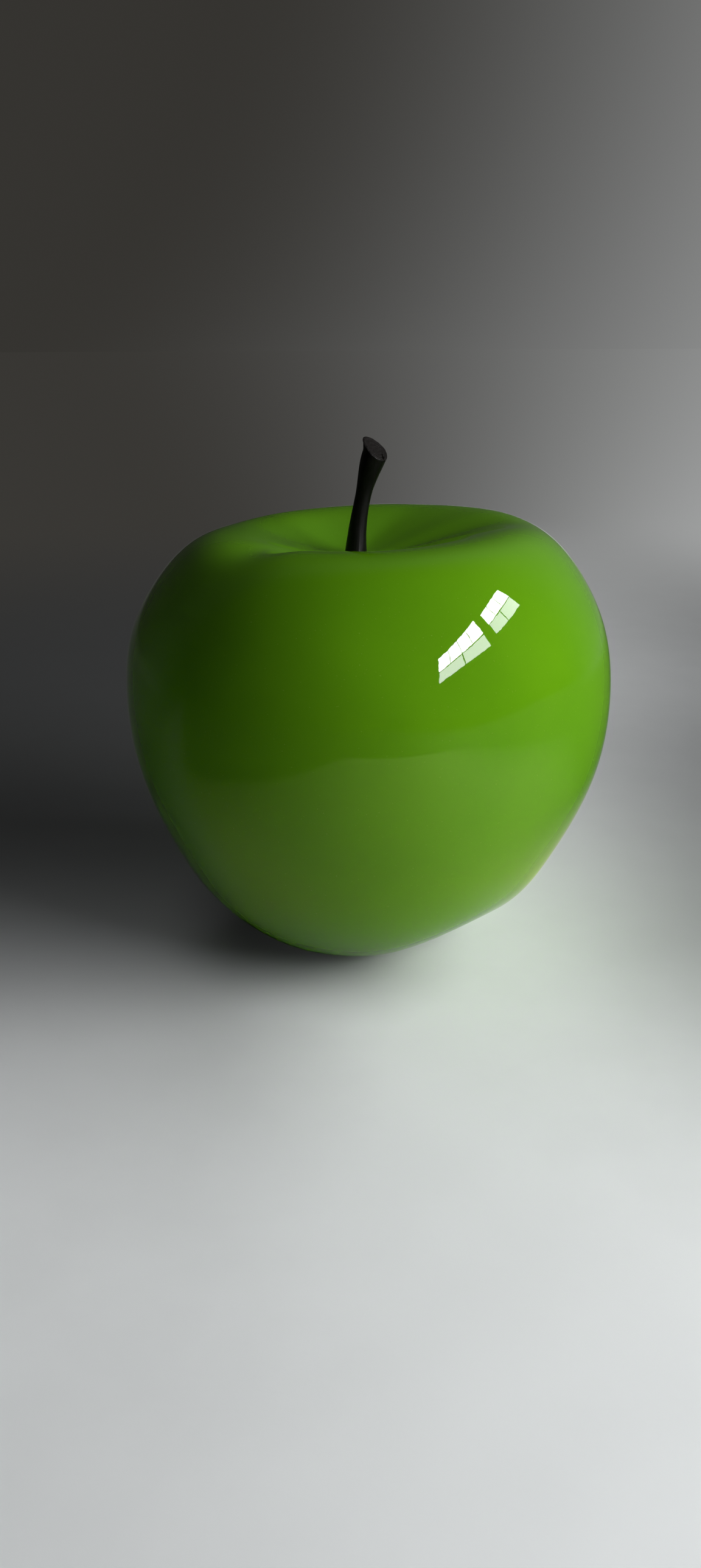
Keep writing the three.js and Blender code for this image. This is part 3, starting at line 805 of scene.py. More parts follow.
def turned_mesh(
    name: str, profile: Sequence[Corner], centre: Sequence[float], sides: int = 96, first: float = 0.0
) -> bpy.types.Mesh:
    """Turned piece about a vertical axis.

    Args:
        name: The mesh's name.
        profile: Radius and height pairs; it closes on itself, or starts and ends on the axis.
        centre: Where the axis stands and the heights start.
        sides: How many sides the piece has.
        first: Angle of its first edge.

    Returns:
        The mesh.
    """
    angles = first + np.linspace(0, 2 * np.pi, sides, endpoint=False)
    around = np.stack([np.cos(angles), np.sin(angles)], axis=-1)
    on_axis = profile[0][0] == 0 and profile[-1][0] == 0
    body = profile[1:-1] if on_axis else profile
    rings = [np.column_stack([around * radius, np.full(sides, height)]) + centre for radius, height in body]
    poles = [np.array([0, 0, profile[0][1]]) + centre, np.array([0, 0, profile[-1][1]]) + centre] if on_axis else []
    return loft_mesh(name, rings, poles)


def place_piece(mesh: bpy.types.Mesh, finishes: Sequence[Finish], crease: float | None = CREASE) -> bpy.types.Object:
    """Puts a mesh in the scene with its finishes.

    Args:
        mesh: The mesh, whose name the piece takes.
        finishes: A finish for each of its material slots.
        crease: Edges that turn by more than this angle are sharp; None leaves them as they are.

    Returns:
        The piece.
    """
    for finish in finishes:
        mesh.materials.append(finish.material())
    if crease is not None:
        mesh.set_sharp_from_angle(angle=crease)
    piece = bpy.data.objects.new(mesh.name, mesh)
    bpy.context.scene.collection.objects.link(piece)
    return piece


def settled(piece: bpy.types.Object) -> bpy.types.Object:
    """Turns a piece's modifiers into plain mesh and removes them.

    Args:
        piece: The piece.

    Returns:
        The same piece.
    """
    evaluated = piece.evaluated_get(bpy.context.evaluated_depsgraph_get())
    mesh = bpy.data.meshes.new_from_object(evaluated)
    mesh.name = piece.name
    piece.modifiers.clear()
    piece.data = mesh
    return piece


class Cut(Enum):
    """What a cutter does to a piece: it takes away what it covers, or leaves only that."""

    AWAY = "DIFFERENCE"
    DOWN_TO = "INTERSECT"


def carve(piece: bpy.types.Object, cutters: Sequence[bpy.types.Mesh], cut: Cut = Cut.AWAY) -> bpy.types.Object:
    """Cuts a piece with meshes, which are used up.

    Args:
        piece: The piece to cut.
        cutters: Closed meshes.
        cut: What each of them does.

    Returns:
        The piece, as plain mesh.
    """
    tools = []
    for cutter in cutters:
        tool = bpy.data.objects.new(cutter.name, cutter)
        bpy.context.scene.collection.objects.link(tool)
        tools.append(tool)
        modifier = piece.modifiers.new(cutter.name, "BOOLEAN")
        modifier.operation, modifier.object = cut.value, tool
    settled(piece)
    for tool in tools:
        bpy.data.objects.remove(tool)
    piece.data.set_sharp_from_angle(angle=CREASE)
    return piece


def finish_piece(piece: bpy.types.Object, nodes: Sequence[str]) -> None:
    """Hands a finished piece to the frame, in place of its CAD nodes.

    Args:
        piece: The piece, in place.
        nodes: The CAD nodes that it stands for.
    """
    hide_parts(*nodes)
    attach(piece, BODY)
    low = np.array([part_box(node)[0] for node in nodes]).min(axis=0)
    high = np.array([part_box(node)[1] for node in nodes]).max(axis=0)
    corners = np.array([piece.matrix_world @ Vector(corner) for corner in piece.bound_box])
    apart = max(np.abs(corners.min(axis=0) - low).max(), np.abs(corners.max(axis=0) - high).max())
    count = sum(len(face.vertices) - 2 for face in piece.data.polygons)
    log.info("%s: %d triangles, box within %.2f mm of its CAD nodes", piece.name, count, apart * 1000)


# Geometry Nodes building


class PatternTree(NodeBench):
    """A Geometry Nodes tree with named inputs, used once or more to make plain meshes."""

    def __init__(self, name: str) -> None:
        """Starts an empty tree with a geometry output.

        Args:
            name: The tree's name.
        """
        super().__init__(bpy.data.node_groups.new(name, "GeometryNodeTree"))
        self.tree.interface.new_socket("Geometry", in_out="OUTPUT", socket_type="NodeSocketGeometry")
        self.source = self.tree.nodes.new("NodeGroupInput")
        self.identifiers: dict[str, str] = {}

    def ask(self, name: str, kind: str) -> bpy.types.NodeSocket:
        """Adds a named input.

        Args:
            name: The input's name.
            kind: Its socket type, without the word NodeSocket.

        Returns:
            The output socket that carries it inside the tree.
        """
        item = self.tree.interface.new_socket(name, in_out="INPUT", socket_type=f"NodeSocket{kind}")
        self.identifiers[name] = item.identifier
        return self.source.outputs[name]

    def join(self, *parts: bpy.types.NodeSocket) -> bpy.types.NodeSocket:
        """Joins several geometries.

        Args:
            parts: The geometries.

        Returns:
            The joined geometry.
        """
        node = self.tree.nodes.new("GeometryNodeJoinGeometry")
        for part in parts:
            self.tree.links.new(part, node.inputs[0])
        return node.outputs[0]

    def close(self, geometry: bpy.types.NodeSocket) -> None:
        """Ends the tree with real geometry in one material, which is a named input.

        Args:
            geometry: What the tree has made.
        """
        material = self.ask("Material", "Material")
        realised = self.add("GeometryNodeRealizeInstances", {0: geometry}).outputs[0]
        dressed = self.add("GeometryNodeSetMaterial", {"Geometry": realised, "Material": material}).outputs[0]
        output = self.tree.nodes.new("NodeGroupOutput")
        self.tree.links.new(dressed, output.inputs[0])

    def grow(self, name: str, **values: object) -> bpy.types.Object:
        """Makes a piece of plain mesh from the tree.

        Args:
            name: The piece's name.
            values: A value for each named input; an underscore stands for a space.

        Returns:
            The piece.
        """
        piece = bpy.data.objects.new(name, bpy.data.meshes.new(name))
        bpy.context.scene.collection.objects.link(piece)
        modifier = piece.modifiers.new(self.tree.name, "NODES")
        modifier.node_group = self.tree
        for key, value in values.items():
            modifier[self.identifiers[key.replace("_", " ")]] = value
        settled(piece)
        piece.data.set_sharp_from_angle(angle=CREASE)
        return piece


def thread_tree() -> PatternTree:
    """Threaded rod that stands on the origin: a core and a ridge that winds up it.

    Returns:
        The tree, with inputs for its radii, pitch and length.
    """
    pattern = PatternTree("thread")
    radius = pattern.ask("Radius", "Float")
    core = pattern.ask("Core Radius", "Float")
    pitch = pattern.ask("Pitch", "Float")
    length = pattern.ask("Length", "Float")
    depth = pattern.maths("SUBTRACT", radius, core)
    size = {"Vertices": THREAD_SIDES, "Radius": core, "Depth": length}
    inner = pattern.add("GeometryNodeMeshCylinder", size).outputs[0]
    lift = pattern.add("ShaderNodeCombineXYZ", {"Z": pattern.product(length, 0.5)}).outputs[0]
    rod = pattern.add("GeometryNodeTransform", {"Geometry": inner, "Translation": lift}).outputs[0]
    rise = pattern.maths("SUBTRACT", length, pattern.product(pitch, 2 * THREAD_RUN_OUT))
    winding = pattern.add("GeometryNodeCurveSpiral", {
        "Resolution": THREAD_STEPS, "Rotations": pattern.maths("DIVIDE", rise, pitch),
        "Start Radius": core, "End Radius": core, "Height": rise,
    }).outputs[0]
    start = pattern.add("ShaderNodeCombineXYZ", {"Z": pattern.product(pitch, THREAD_RUN_OUT)}).outputs[0]
    raised = pattern.add("GeometryNodeTransform", {"Geometry": winding, "Translation": start}).outputs[0]
    section = pattern.add("GeometryNodeCurvePrimitiveCircle", {"Resolution": 4, "Radius": depth}).outputs[0]
    ridge = pattern.add("GeometryNodeCurveToMesh", {"Curve": raised, "Profile Curve": section, "Fill Caps": True})
    pattern.close(pattern.join(rod, ridge.outputs[0]))
    return pattern


def ring_tree() -> PatternTree:
    """Copies of a piece in a ring about a vertical axis, each turned to face outwards.

    Returns:
        The tree, with inputs for the piece, the count, the ring's radius and place, and the first one's angle.
    """
    pattern = PatternTree("ring_of_pieces")
    piece = pattern.ask("Piece", "Object")
    count = pattern.ask("Count", "Int")
    radius = pattern.ask("Radius", "Float")
    first = pattern.ask("First Angle", "Float")
    centre = pattern.ask("Centre", "Vector")
    points = pattern.add("GeometryNodeMeshLine", {"Count": count, "Offset": (0.0, 0.0, 0.0)}).outputs[0]
    index = pattern.add("GeometryNodeInputIndex").outputs[0]
    step = pattern.maths("DIVIDE", math.tau, count)
    angle = pattern.maths("ADD", pattern.product(index, step), first)
    place = pattern.add("ShaderNodeCombineXYZ", {
        "X": pattern.product(pattern.maths("COSINE", angle), radius),
        "Y": pattern.product(pattern.maths("SINE", angle), radius),
    }).outputs[0]
    spread = pattern.add("GeometryNodeSetPosition", {"Geometry": points, "Position": place}).outputs[0]
    item = pattern.add("GeometryNodeObjectInfo", {"Object": piece}).outputs["Geometry"]
    turn = pattern.add("ShaderNodeCombineXYZ", {"Z": angle}).outputs[0]
    copies = pattern.add("GeometryNodeInstanceOnPoints", {"Points": spread, "Instance": item, "Rotation": turn})
    moved = pattern.add("GeometryNodeTransform", {"Geometry": copies.outputs[0], "Translation": centre}).outputs[0]
    pattern.close(moved)
    return pattern


# The body's skin


class ClosedSpline:
    """Closed uniform cubic spline through given values."""

    def __init__(self, values: Sequence[float]) -> None:
        """Finds the control values by repeated correction.

        Args:
            values: The values that the spline passes through, one for each whole place.
        """
        self.controls = np.array(values, float)
        for _ in range(SPLINE_ROUNDS):
            for i in range(len(values)):
                neighbours = self.controls[i - 1] + self.controls[(i + 1) % len(values)]
                self.controls[i] = (6 * values[i] - neighbours) / 4

    def at(self, place: np.ndarray) -> np.ndarray:
        """Values of the spline.

        Args:
            place: Where to take them.

        Returns:
            A value for each place.
        """
        first = np.floor(place).astype(int)
        s = place - first
        weights = ((1 - s) ** 3, 3 * s**3 - 6 * s**2 + 4, -3 * s**3 + 3 * s**2 + 3 * s + 1, s**3)
        return sum(w / 6 * self.controls[(first + k - 1) % len(self.controls)] for k, w in enumerate(weights))


def between(start: float, end: float, share: float) -> float:
    """Value at a share of the way from one to another."""
    return start + (end - start) * share


class Place(float, Enum):
    """Named places down the outline of the body, in stations."""

    SEAT = 0.0
    GIRTH = 5.0
    FOOT = 9.0
    RECESS = 10.0


@dataclass
class AppleSkin:
    """Outer surface of the body, with the sizes of the CAD model.

    A place runs down the outline from station to station, and a column runs round from valley to valley.
    """

    girth_radius: float = 0.145
    girth_height: float = 0.169
    crown_radius: float = 0.0751
    crown_height: float = 0.2482
    seat_depth: float = 0.0167
    foot_radius: float = 0.057
    recess_radius: float = 0.031
    recess_height: float = 0.018
    crown_valleys: tuple[float, ...] = (-45, 11, 93.5, 168, 236.5)
    base_valleys: tuple[float, ...] = (-64, 44, 112, 176, 238)
    crown_valley_drops: tuple[float, ...] = (0.0031, 0.0003, 0.0025, 0.0, 0.001)
    flank_valley_inset: float = 0.0014
    base_valley_rise: float = 0.0079
    base_valley_inset: float = 0.0042
    crown_tilt: float = 0.0354
    seat_shift: float = -0.007
    crown_shift: float = -0.0002
    foot_shift: float = -0.0056
    outline: dict[str, ClosedSpline] = field(default_factory=dict, repr=False)
    turns: tuple[ClosedSpline, ...] = field(default=(), repr=False)
    crown_drops: ClosedSpline | None = field(default=None, repr=False)

    def __post_init__(self) -> None:
        """Makes the splines of the outline and of the valleys' angles."""
        names = ("radius", "height", "shift", "tilt", "inset", "dip", "rise", "turn")
        for name, values in zip(names, zip(*self.stations())):
            sign = -1 if name in ("radius", "inset") else 1
            self.outline[name] = ClosedSpline([*values, *(sign * value for value in values[-2:0:-1])])
        pitch = 360 / self.lobes
        self.turns = tuple(
            ClosedSpline([angle - pitch * i for i, angle in enumerate(valleys)])
            for valleys in (self.crown_valleys, self.base_valleys)
        )
        self.crown_drops = ClosedSpline(self.crown_valley_drops)

    @property
    def lobes(self) -> int:
        """How many lobes the body has."""
        return len(self.base_valleys)

    @property
    def seat_height(self) -> float:
        """Height of the stem's seat."""
        return self.crown_height - self.seat_depth

    def stations(self) -> list[tuple[float, ...]]:
        """Lists the outline from the seat to the recess.

        Returns:
            Stations, each with its radius, height, shift, tilt, inset, dip, rise and turn.
        """
        seat, crown, girth = self.seat_height, self.crown_height, self.girth_height
        cup, wide, foot, recess = self.crown_radius, self.girth_radius, self.foot_radius, self.recess_radius
        flank, base = self.flank_valley_inset, self.base_valley_inset
        low, high, mid = self.foot_shift, self.crown_shift, self.seat_shift
        return [
            (0, seat, mid, 0.8, 0, 0, 0, 0),
            (0.56 * cup, seat + 0.496 * self.seat_depth, 0.9 * mid, 0.9, 0, 1, 0, 0),
            (cup, crown, high, 1, 0, 1, 0, 0),
            (between(cup, wide, 0.432), between(girth, crown, 0.919), 0.67 * high, 0.88, 0, 0.5, 0, 0),
            (between(cup, wide, 0.821), between(girth, crown, 0.519), 0.24 * high, 0.52, flank, 0, 0, 0),
            (wide, girth, 0, 0, 0.5 * flank, 0, 0, 0.5),
            (between(wide, foot, 0.035), 0.66 * girth, 0.04 * low, 0, 0.5 * flank, 0, 0, 1),
            (between(wide, foot, 0.266), 0.34 * girth, 0.36 * low, 0, 0.47 * base, 0, 0, 1),
            (between(wide, foot, 0.549), 0.12 * girth, 0.66 * low, 0, 0.47 * base, 0, 0.6, 1),
            (foot, 0, low, 0, base, 0, 1, 1),
            (recess, self.recess_height, low, 0, 0, 0, 0, 1),
            (0, self.recess_height, low, 0, 0, 0, 0, 1),
        ]

    def angle(self, place: np.ndarray, column: np.ndarray) -> np.ndarray:
        """Angles round the body.

        Args:
            place: Places down the outline.
            column: Columns round the body.

        Returns:
            Compass angles from -Y towards +X, in radians.
        """
        crown, base = (spline.at(column) for spline in self.turns)
        bend = between(crown, base, self.outline["turn"].at(place))
        return np.radians(360 / self.lobes * column + bend)

    def point(self, place: np.ndarray, column: np.ndarray) -> np.ndarray:
        """Points of the skin.

        Args:
            place: Places down the outline.
            column: Columns round the body.

        Returns:
            Points in the CAD model's frame, with a last axis of x, y and z.
        """
        place, column = np.broadcast_arrays(np.asarray(place, float), np.asarray(column, float))
        valley = ((1 + np.cos(2 * np.pi * column)) / 2) ** 2
        radius = self.outline["radius"].at(place) - valley * self.outline["inset"].at(place)
        angle = self.angle(place, column)
        across = radius * np.sin(angle)
        dip = self.crown_drops.at(column) * self.outline["dip"].at(place)
        rise = self.base_valley_rise * self.outline["rise"].at(place)
        tilt = self.crown_tilt * self.outline["tilt"].at(place)
        height = self.outline["height"].at(place) + valley * (rise - dip) + tilt * across
        return np.stack([self.outline["shift"].at(place) + across, -radius * np.cos(angle), height], axis=-1) + ORIGIN

    def normal(self, place: np.ndarray, column: np.ndarray) -> np.ndarray:
        """Outward normals of the skin.

        Args:
            place: Places down the outline.
            column: Columns round the body.

        Returns:
            Normals of length 1, with a last axis of x, y and z.
        """
        place, column = np.broadcast_arrays(np.asarray(place, float), np.asarray(column, float))
        step = 1e-3
        down = self.point(place + step, column) - self.point(place - step, column)
        around = self.point(place, column + step) - self.point(place, column - step)
        outward = np.cross(down, around)
        return outward / np.linalg.norm(outward, axis=-1, keepdims=True)

    def circle(self, place: float, columns: np.ndarray, radius: float, height: float) -> np.ndarray:
        """Level circle on the skin's columns and axis.

        Args:
            place: The place whose axis and columns it has.
            columns: The columns that it has a point on.
            radius: Its radius.
            height: Its height.

        Returns:
            Its points.
        """
        places = np.full_like(columns, place)
        angle = self.angle(places, columns)
        centre = self.outline["shift"].at(places)
        flat = [centre + radius * np.sin(angle), -radius * np.cos(angle), np.full_like(columns, height)]
        return np.stack(flat, axis=-1) + ORIGIN

    def height_above(self, x: float, y: float, column: float) -> float:
        """Height of the underside above a point of the floor.

        Args:
            x: The point's place to the right.
            y: The point's place to the back.
            column: A column near it, to search from.

        Returns:
            The height.
        """
        spot, step = np.array([float(Place.FOOT), column]), 1e-4
        for _ in range(NEWTON_STEPS):
            here = self.point(*spot)
            down = (self.point(spot[0] + step, spot[1]) - here) / step
            around = (self.point(spot[0], spot[1] + step) - here) / step
            miss = np.array([x, y]) - here[:2]
            spot += np.linalg.solve(np.column_stack([down[:2], around[:2]]), miss)
        return float(self.point(*spot)[2])


# Pieces of the apple


class Surface(IntEnum):
    """Material slots of a shell."""

    LACQUERED = 0
    BARE = 1


@dataclass
class Run:
    """Rings of a shell that share a finish, with a normal for each point, or None where faces are flat."""

    rings: np.ndarray
    normals: np.ndarray | None
    surface: Surface


@dataclass
class BodyShells:
    """The two halves of the body, as fine closed shells that meet on one level plane."""

    skin: AppleSkin
    wall: float = 0.003
    boss_thickness: float = 0.005
    boss_radius: float = 0.014
    seat_radius: float = 0.0087
    stud_hole: float = 0.0028
    access_radius: float = 0.019
    ledge_margin: float = 0.001
    columns: int = 360
    upper_rows: int = 96
    lower_rows: int = 116
    inner_rows: int = 30
    first_row: float = 0.3
    first_inner_row: float = 0.5
    last_inner_row: float = 9.5

    def __post_init__(self) -> None:
        """Spaces the columns evenly from valley to valley."""
        self.round = np.arange(self.columns) * self.skin.lobes / self.columns

    def skin_run(self, places: np.ndarray, depth: float) -> Run:
        """Rings on the skin, or under it where the moulding is bare.

        Args:
            places: Places down the outline.
            depth: How far under the skin they are.

        Returns:
            The rings with their normals; those at the joint are level.
        """
        grid, columns = np.meshgrid(places, self.round, indexing="ij")
        outward = self.skin.normal(grid, columns)
        rings = self.skin.point(grid, columns) - depth * outward
        at_joint = np.isclose(places, Place.GIRTH)
        rings[at_joint, :, 2] = self.skin.girth_height + ORIGIN[2]
        if depth:
            return Run(rings, -outward, Surface.BARE)
        return Run(rings, outward, Surface.LACQUERED)

    def flat_run(self, rings: Sequence[np.ndarray], surface: Surface) -> Run:
        """Rings with flat faces between them."""
        return Run(np.stack(rings), None, surface)

    def circle(self, place: float, radius: float, height: float) -> np.ndarray:
        """Level circle on the shell's columns."""
        return self.skin.circle(place, self.round, radius, height)

    def shell_mesh(self, name: str, runs: Sequence[Run]) -> bpy.types.Mesh:
        """Joins runs of rings into one closed shell with exact normals on its skin.

        Args:
            name: The mesh's name.
            runs: Runs in order; each starts on the ring where the one before ends, and the last ends on the first.

        Returns:
            The mesh.
        """
        columns = self.columns
        points = np.concatenate([run.rings[:-1].reshape(-1, 3) for run in runs])
        total = len(points) // columns
        j = np.arange(columns)
        k = (j + 1) % columns
        faces, normals, surfaces, row = [], [], [], 0
        for run in runs:
            for i in range(len(run.rings) - 1):
                here, there = row * columns, ((row + 1) % total) * columns
                quad = np.stack([here + j, there + j, there + k, here + k], axis=-1)
                if run.normals is None:
                    a, b, c = points[quad[:, 0]], points[quad[:, 1]], points[quad[:, 2]]
                    flat = np.cross(b - a, c - a)
                    flat /= np.linalg.norm(flat, axis=-1, keepdims=True)
                    corner = np.repeat(flat[:, None, :], 4, axis=1)
                else:
                    n, m = run.normals[i], run.normals[i + 1]
                    corner = np.stack([n[j], m[j], m[k], n[k]], axis=1)
                faces.append(quad)
                normals.append(corner)
                surfaces += [run.surface] * columns
                row += 1
        quads, corners = np.concatenate(faces), np.concatenate(normals)
        mesh = bpy.data.meshes.new(name)
        mesh.from_pydata(points.tolist(), [], quads.tolist())
        mesh.shade_smooth()
        mesh.polygons.foreach_set("material_index", surfaces)
        mesh.normals_split_custom_set(corners.reshape(-1, 3).tolist())
        return mesh

    def upper(self) -> bpy.types.Mesh:
        """Makes the upper half, with the land and boss that the stem is bolted to.

        Returns:
            Its mesh.
        """
        seat, boss = self.skin.seat_height, self.skin.seat_height - self.boss_thickness
        outer = self.skin_run(np.linspace(self.first_row, Place.GIRTH, self.upper_rows), 0)
        inner = self.skin_run(np.linspace(Place.GIRTH, self.first_inner_row, self.inner_rows), self.wall)
        edge = self.circle(Place.SEAT, self.stud_hole, seat)
        land = self.circle(Place.SEAT, self.seat_radius, seat)
        boss_edge = self.circle(Place.SEAT, self.boss_radius, boss)
        boss_hole = self.circle(Place.SEAT, self.stud_hole, boss)
        blend = np.stack([np.tile([0.0, 0.0, 1.0], (self.columns, 1)), outer.normals[0]])
        return self.shell_mesh("upper_body", [
            self.flat_run([edge, land], Surface.LACQUERED),
            Run(np.stack([land, outer.rings[0]]), blend, Surface.LACQUERED),
            outer,
            self.flat_run([outer.rings[-1], inner.rings[0]], Surface.BARE),
            inner,
            self.flat_run([inner.rings[-1], boss_edge, boss_hole, edge], Surface.BARE),
        ])

    def lower(self) -> bpy.types.Mesh:
        """Makes the lower half, with the recess, the access hole and the ledge inside it.

        Returns:
            Its mesh.
        """
        low = self.skin.recess_height
        high = low + self.wall
        outer = self.skin_run(np.linspace(Place.GIRTH, Place.RECESS, self.lower_rows), 0)
        inner = self.skin_run(np.linspace(self.last_inner_row, Place.GIRTH, self.inner_rows), self.wall)
        mouth = self.circle(Place.RECESS, self.access_radius, low)
        ledge = self.circle(Place.RECESS, self.access_radius, high)
        ledge_edge = self.circle(Place.RECESS, self.skin.recess_radius + self.ledge_margin, high)
        return self.shell_mesh("lower_body", [
            outer,
            self.flat_run([outer.rings[-1], mouth], Surface.LACQUERED),
            self.flat_run([mouth, ledge, ledge_edge, inner.rings[0]], Surface.BARE),
            inner,
            self.flat_run([inner.rings[-1], outer.rings[0]], Surface.BARE),
        ])

    def build(self) -> None:
        """Builds both halves."""
        for mesh, node in ((self.upper(), "upper_shell"), (self.lower(), "lower_shell")):
            piece = place_piece(mesh, [Lacquer(), Laminate()], crease=None)
            finish_piece(piece, [node])


@dataclass
class Stem:
    """The cast stem: flared at its foot and head, leaning, and cut off by a sloping plane."""

    skin: AppleSkin
    height: float = 0.0607
    lean: float = 0.0122
    bend: float = 1.85
    foot_radius: float = 0.0067
    waist_radius: float = 0.0047
    waist_share: float = 0.555
    head_radius: float = 0.0079
    cut_slope: Triple = (0.72, -0.5, 1.0)
    cut_limit: float = 1.5
    bore_radius: float = 0.0028
    bore_depth: float = 0.0143
    rim_roll: float = 0.0005
    rim_start: float = 0.9
    dish: float = 0.0004
    # The cut face's rings: their height, their pace, and the share of it at the heart and added towards the rim.
    ripple: float = 0.00010
    ripple_pace: float = 24
    ripple_rise: Pair = (0.4, 0.6)
    # Its lumps, each with a height and a pace.
    coarse_lumps: Pair = (0.00016, 5)
    fine_lumps: Pair = (0.00007, 14)
    fine_offset: Triple = (7, 3, 1)
    # Its crack, which swings from side to side by an angle at a pace.
    crack_depth: float = 0.0011
    crack_angle: float = -0.35
    crack_width: float = 0.10
    crack_swing: Pair = (0.25, 5)
    crack_start: float = 0.25
    crack_growth: float = 0.5
    # The side's grain: its depth, its pace round and along the stem, and a finer one's share and pace.
    grain_relief: float = 0.00012
    grain_round: float = 1.6
    grain_along: float = 28
    fine_grain: Pair = (0.4, 3.1)
    crease: float = math.radians(50)
    sides: int = 160
    rows: int = 90
    face_rings: int = 40

    def centre(self, share: np.ndarray) -> np.ndarray:
        """Points of the centre line.

        Args:
            share: Shares of the stem's height.

        Returns:
            A point for each share.
        """
        share = np.asarray(share, float)
        x = self.skin.seat_shift + self.lean * np.minimum(share, 1) ** self.bend
        return np.stack([x, np.zeros_like(x), self.skin.seat_height + self.height * share], axis=-1) + ORIGIN

    def radius(self, share: np.ndarray) -> np.ndarray:
        """Radii of the stem.

        Args:
            share: Shares of its height.

        Returns:
            A radius for each share.
        """
        flare = np.clip(1 - share / self.waist_share, 0, 1) ** 2
        rise = np.clip((share - self.waist_share) / (1 - self.waist_share), 0, 1)
        head = (self.head_radius - self.waist_radius) * rise**2 * (3 - 2 * rise)
        return self.waist_radius + (self.foot_radius - self.waist_radius) * flare + head

    def side_point(self, share: np.ndarray, angle: np.ndarray) -> np.ndarray:
        """Points of the stem's side at shares of the height and angles round it."""
        around = np.stack([np.cos(angle), np.sin(angle), np.zeros_like(angle)], axis=-1)
        return self.centre(share) + self.radius(share)[..., None] * around

    def cut_share(self, angle: np.ndarray) -> np.ndarray:
        """Finds where each side meets the cut.

        Args:
            angle: Angles round the stem.

        Returns:
            A share of the height for each angle.
        """
        low, high = np.full_like(angle, self.waist_share), np.full_like(angle, self.cut_limit)
        for _ in range(HALVINGS):
            middle = (low + high) / 2
            below = (self.side_point(middle, angle) - self.centre(1.0)) @ np.array(self.cut_slope) < 0
            low, high = np.where(below, middle, low), np.where(below, high, middle)
        return low

    def grained(self, ring: np.ndarray, centre: np.ndarray, angle: np.ndarray) -> np.ndarray:
        """Moves a ring's points in or out by the stalk's long shallow grain.

        Args:
            ring: The ring's points.
            centre: The centre line's point for each of them.
            angle: The angle of each of them.

        Returns:
            The moved points.
        """
        depths, (share, finer) = [], self.fine_grain
        for point, turn in zip(ring, angle):
            across = math.cos(turn) * self.grain_round, math.sin(turn) * self.grain_round
            spot = Vector((*across, float(point[2]) * self.grain_along))
            depths.append(noise.noise(spot) + share * noise.noise(spot * finer))
        outward = ring - centre
        outward[:, 2] = 0
        outward /= np.linalg.norm(outward, axis=-1, keepdims=True)
        return ring + outward * np.array(depths)[:, None] * self.grain_relief

    def face_relief(self, share: float, angle: np.ndarray) -> np.ndarray:
        """Heights of the cut face over its plane, with rings, lumps, one crack and a rolled rim.

        Args:
            share: A share of the way out to the rim.
            angle: Angles round the stem.

        Returns:
            A height for each angle.
        """
        start, growth = self.ripple_rise
        rings = self.ripple * math.sin(share * self.ripple_pace) * (start + growth * share)
        (coarse, wide), (fine, close) = self.coarse_lumps, self.fine_lumps
        rough = []
        for turn in angle:
            spot = Vector((math.cos(turn), math.sin(turn), 0)) * share
            lump = coarse * noise.noise(spot * wide)
            rough.append(lump + fine * noise.noise(spot * close + Vector(self.fine_offset)))
        swing, pace = self.crack_swing
        off = np.angle(np.exp(1j * (angle - self.crack_angle - swing * math.sin(share * pace))))
        opened = np.clip((share - self.crack_start) / self.crack_growth, 0, 1)
        crack = self.crack_depth * np.exp(-((off / self.crack_width) ** 2)) * opened
        roll = self.rim_roll * np.clip((share - self.rim_start) / (1 - self.rim_start), 0, 1) ** 2
        return rings + np.array(rough) - crack - roll - self.dish * (1 - share**2)

    def build(self) -> None:
        """Builds the stem, with its blind bore for the stud."""
        angle = np.linspace(0, 2 * np.pi, self.sides, endpoint=False)
        cut = self.cut_share(angle)
        face_normal = np.array(self.cut_slope) / np.linalg.norm(self.cut_slope)
        side_rings = []
        for share in np.linspace(0, 1, self.rows):
            ring = self.side_point(share * cut, angle)
            side_rings.append(self.grained(ring, self.centre(share * cut), angle) if share > 0 else ring)
        rim, heart = side_rings[-1], self.centre(1.0)
        drop = self.face_relief(1.0, angle)
        side_rings[-1] = rim + face_normal * drop[:, None]
        face_rings = []
        for share in np.linspace(1, 0, self.face_rings + 1)[1:-1]:
            ring = heart + (rim - heart) * share
            face_rings.append(ring + face_normal * self.face_relief(share, angle)[:, None])
        seat = self.skin.seat_height
        around = np.stack([np.cos(angle), np.sin(angle), np.zeros_like(angle)], axis=-1) * self.bore_radius
        axis = np.array([self.skin.seat_shift, 0, seat]) + ORIGIN
        top = np.array([0, 0, self.bore_depth])
        bore = [axis + around + top, axis + around]
        rings = [*bore, *side_rings, *face_rings]
        centre_height = self.face_relief(0.0, angle[:1])[0]
        mesh = loft_mesh("stem_casting", rings, [axis + top, heart + face_normal * centre_height])
        first_face = (len(bore) + len(side_rings) - 1) * self.sides
        for face in mesh.polygons:
            face.material_index = int(max(face.vertices) >= first_face and min(face.vertices) >= first_face)
        for face in mesh.polygons[-self.sides * 2:-self.sides]:
            face.material_index = 0
        piece = place_piece(mesh, [CastResin(), CutEnd()], self.crease)
        finish_piece(piece, ["stem"])


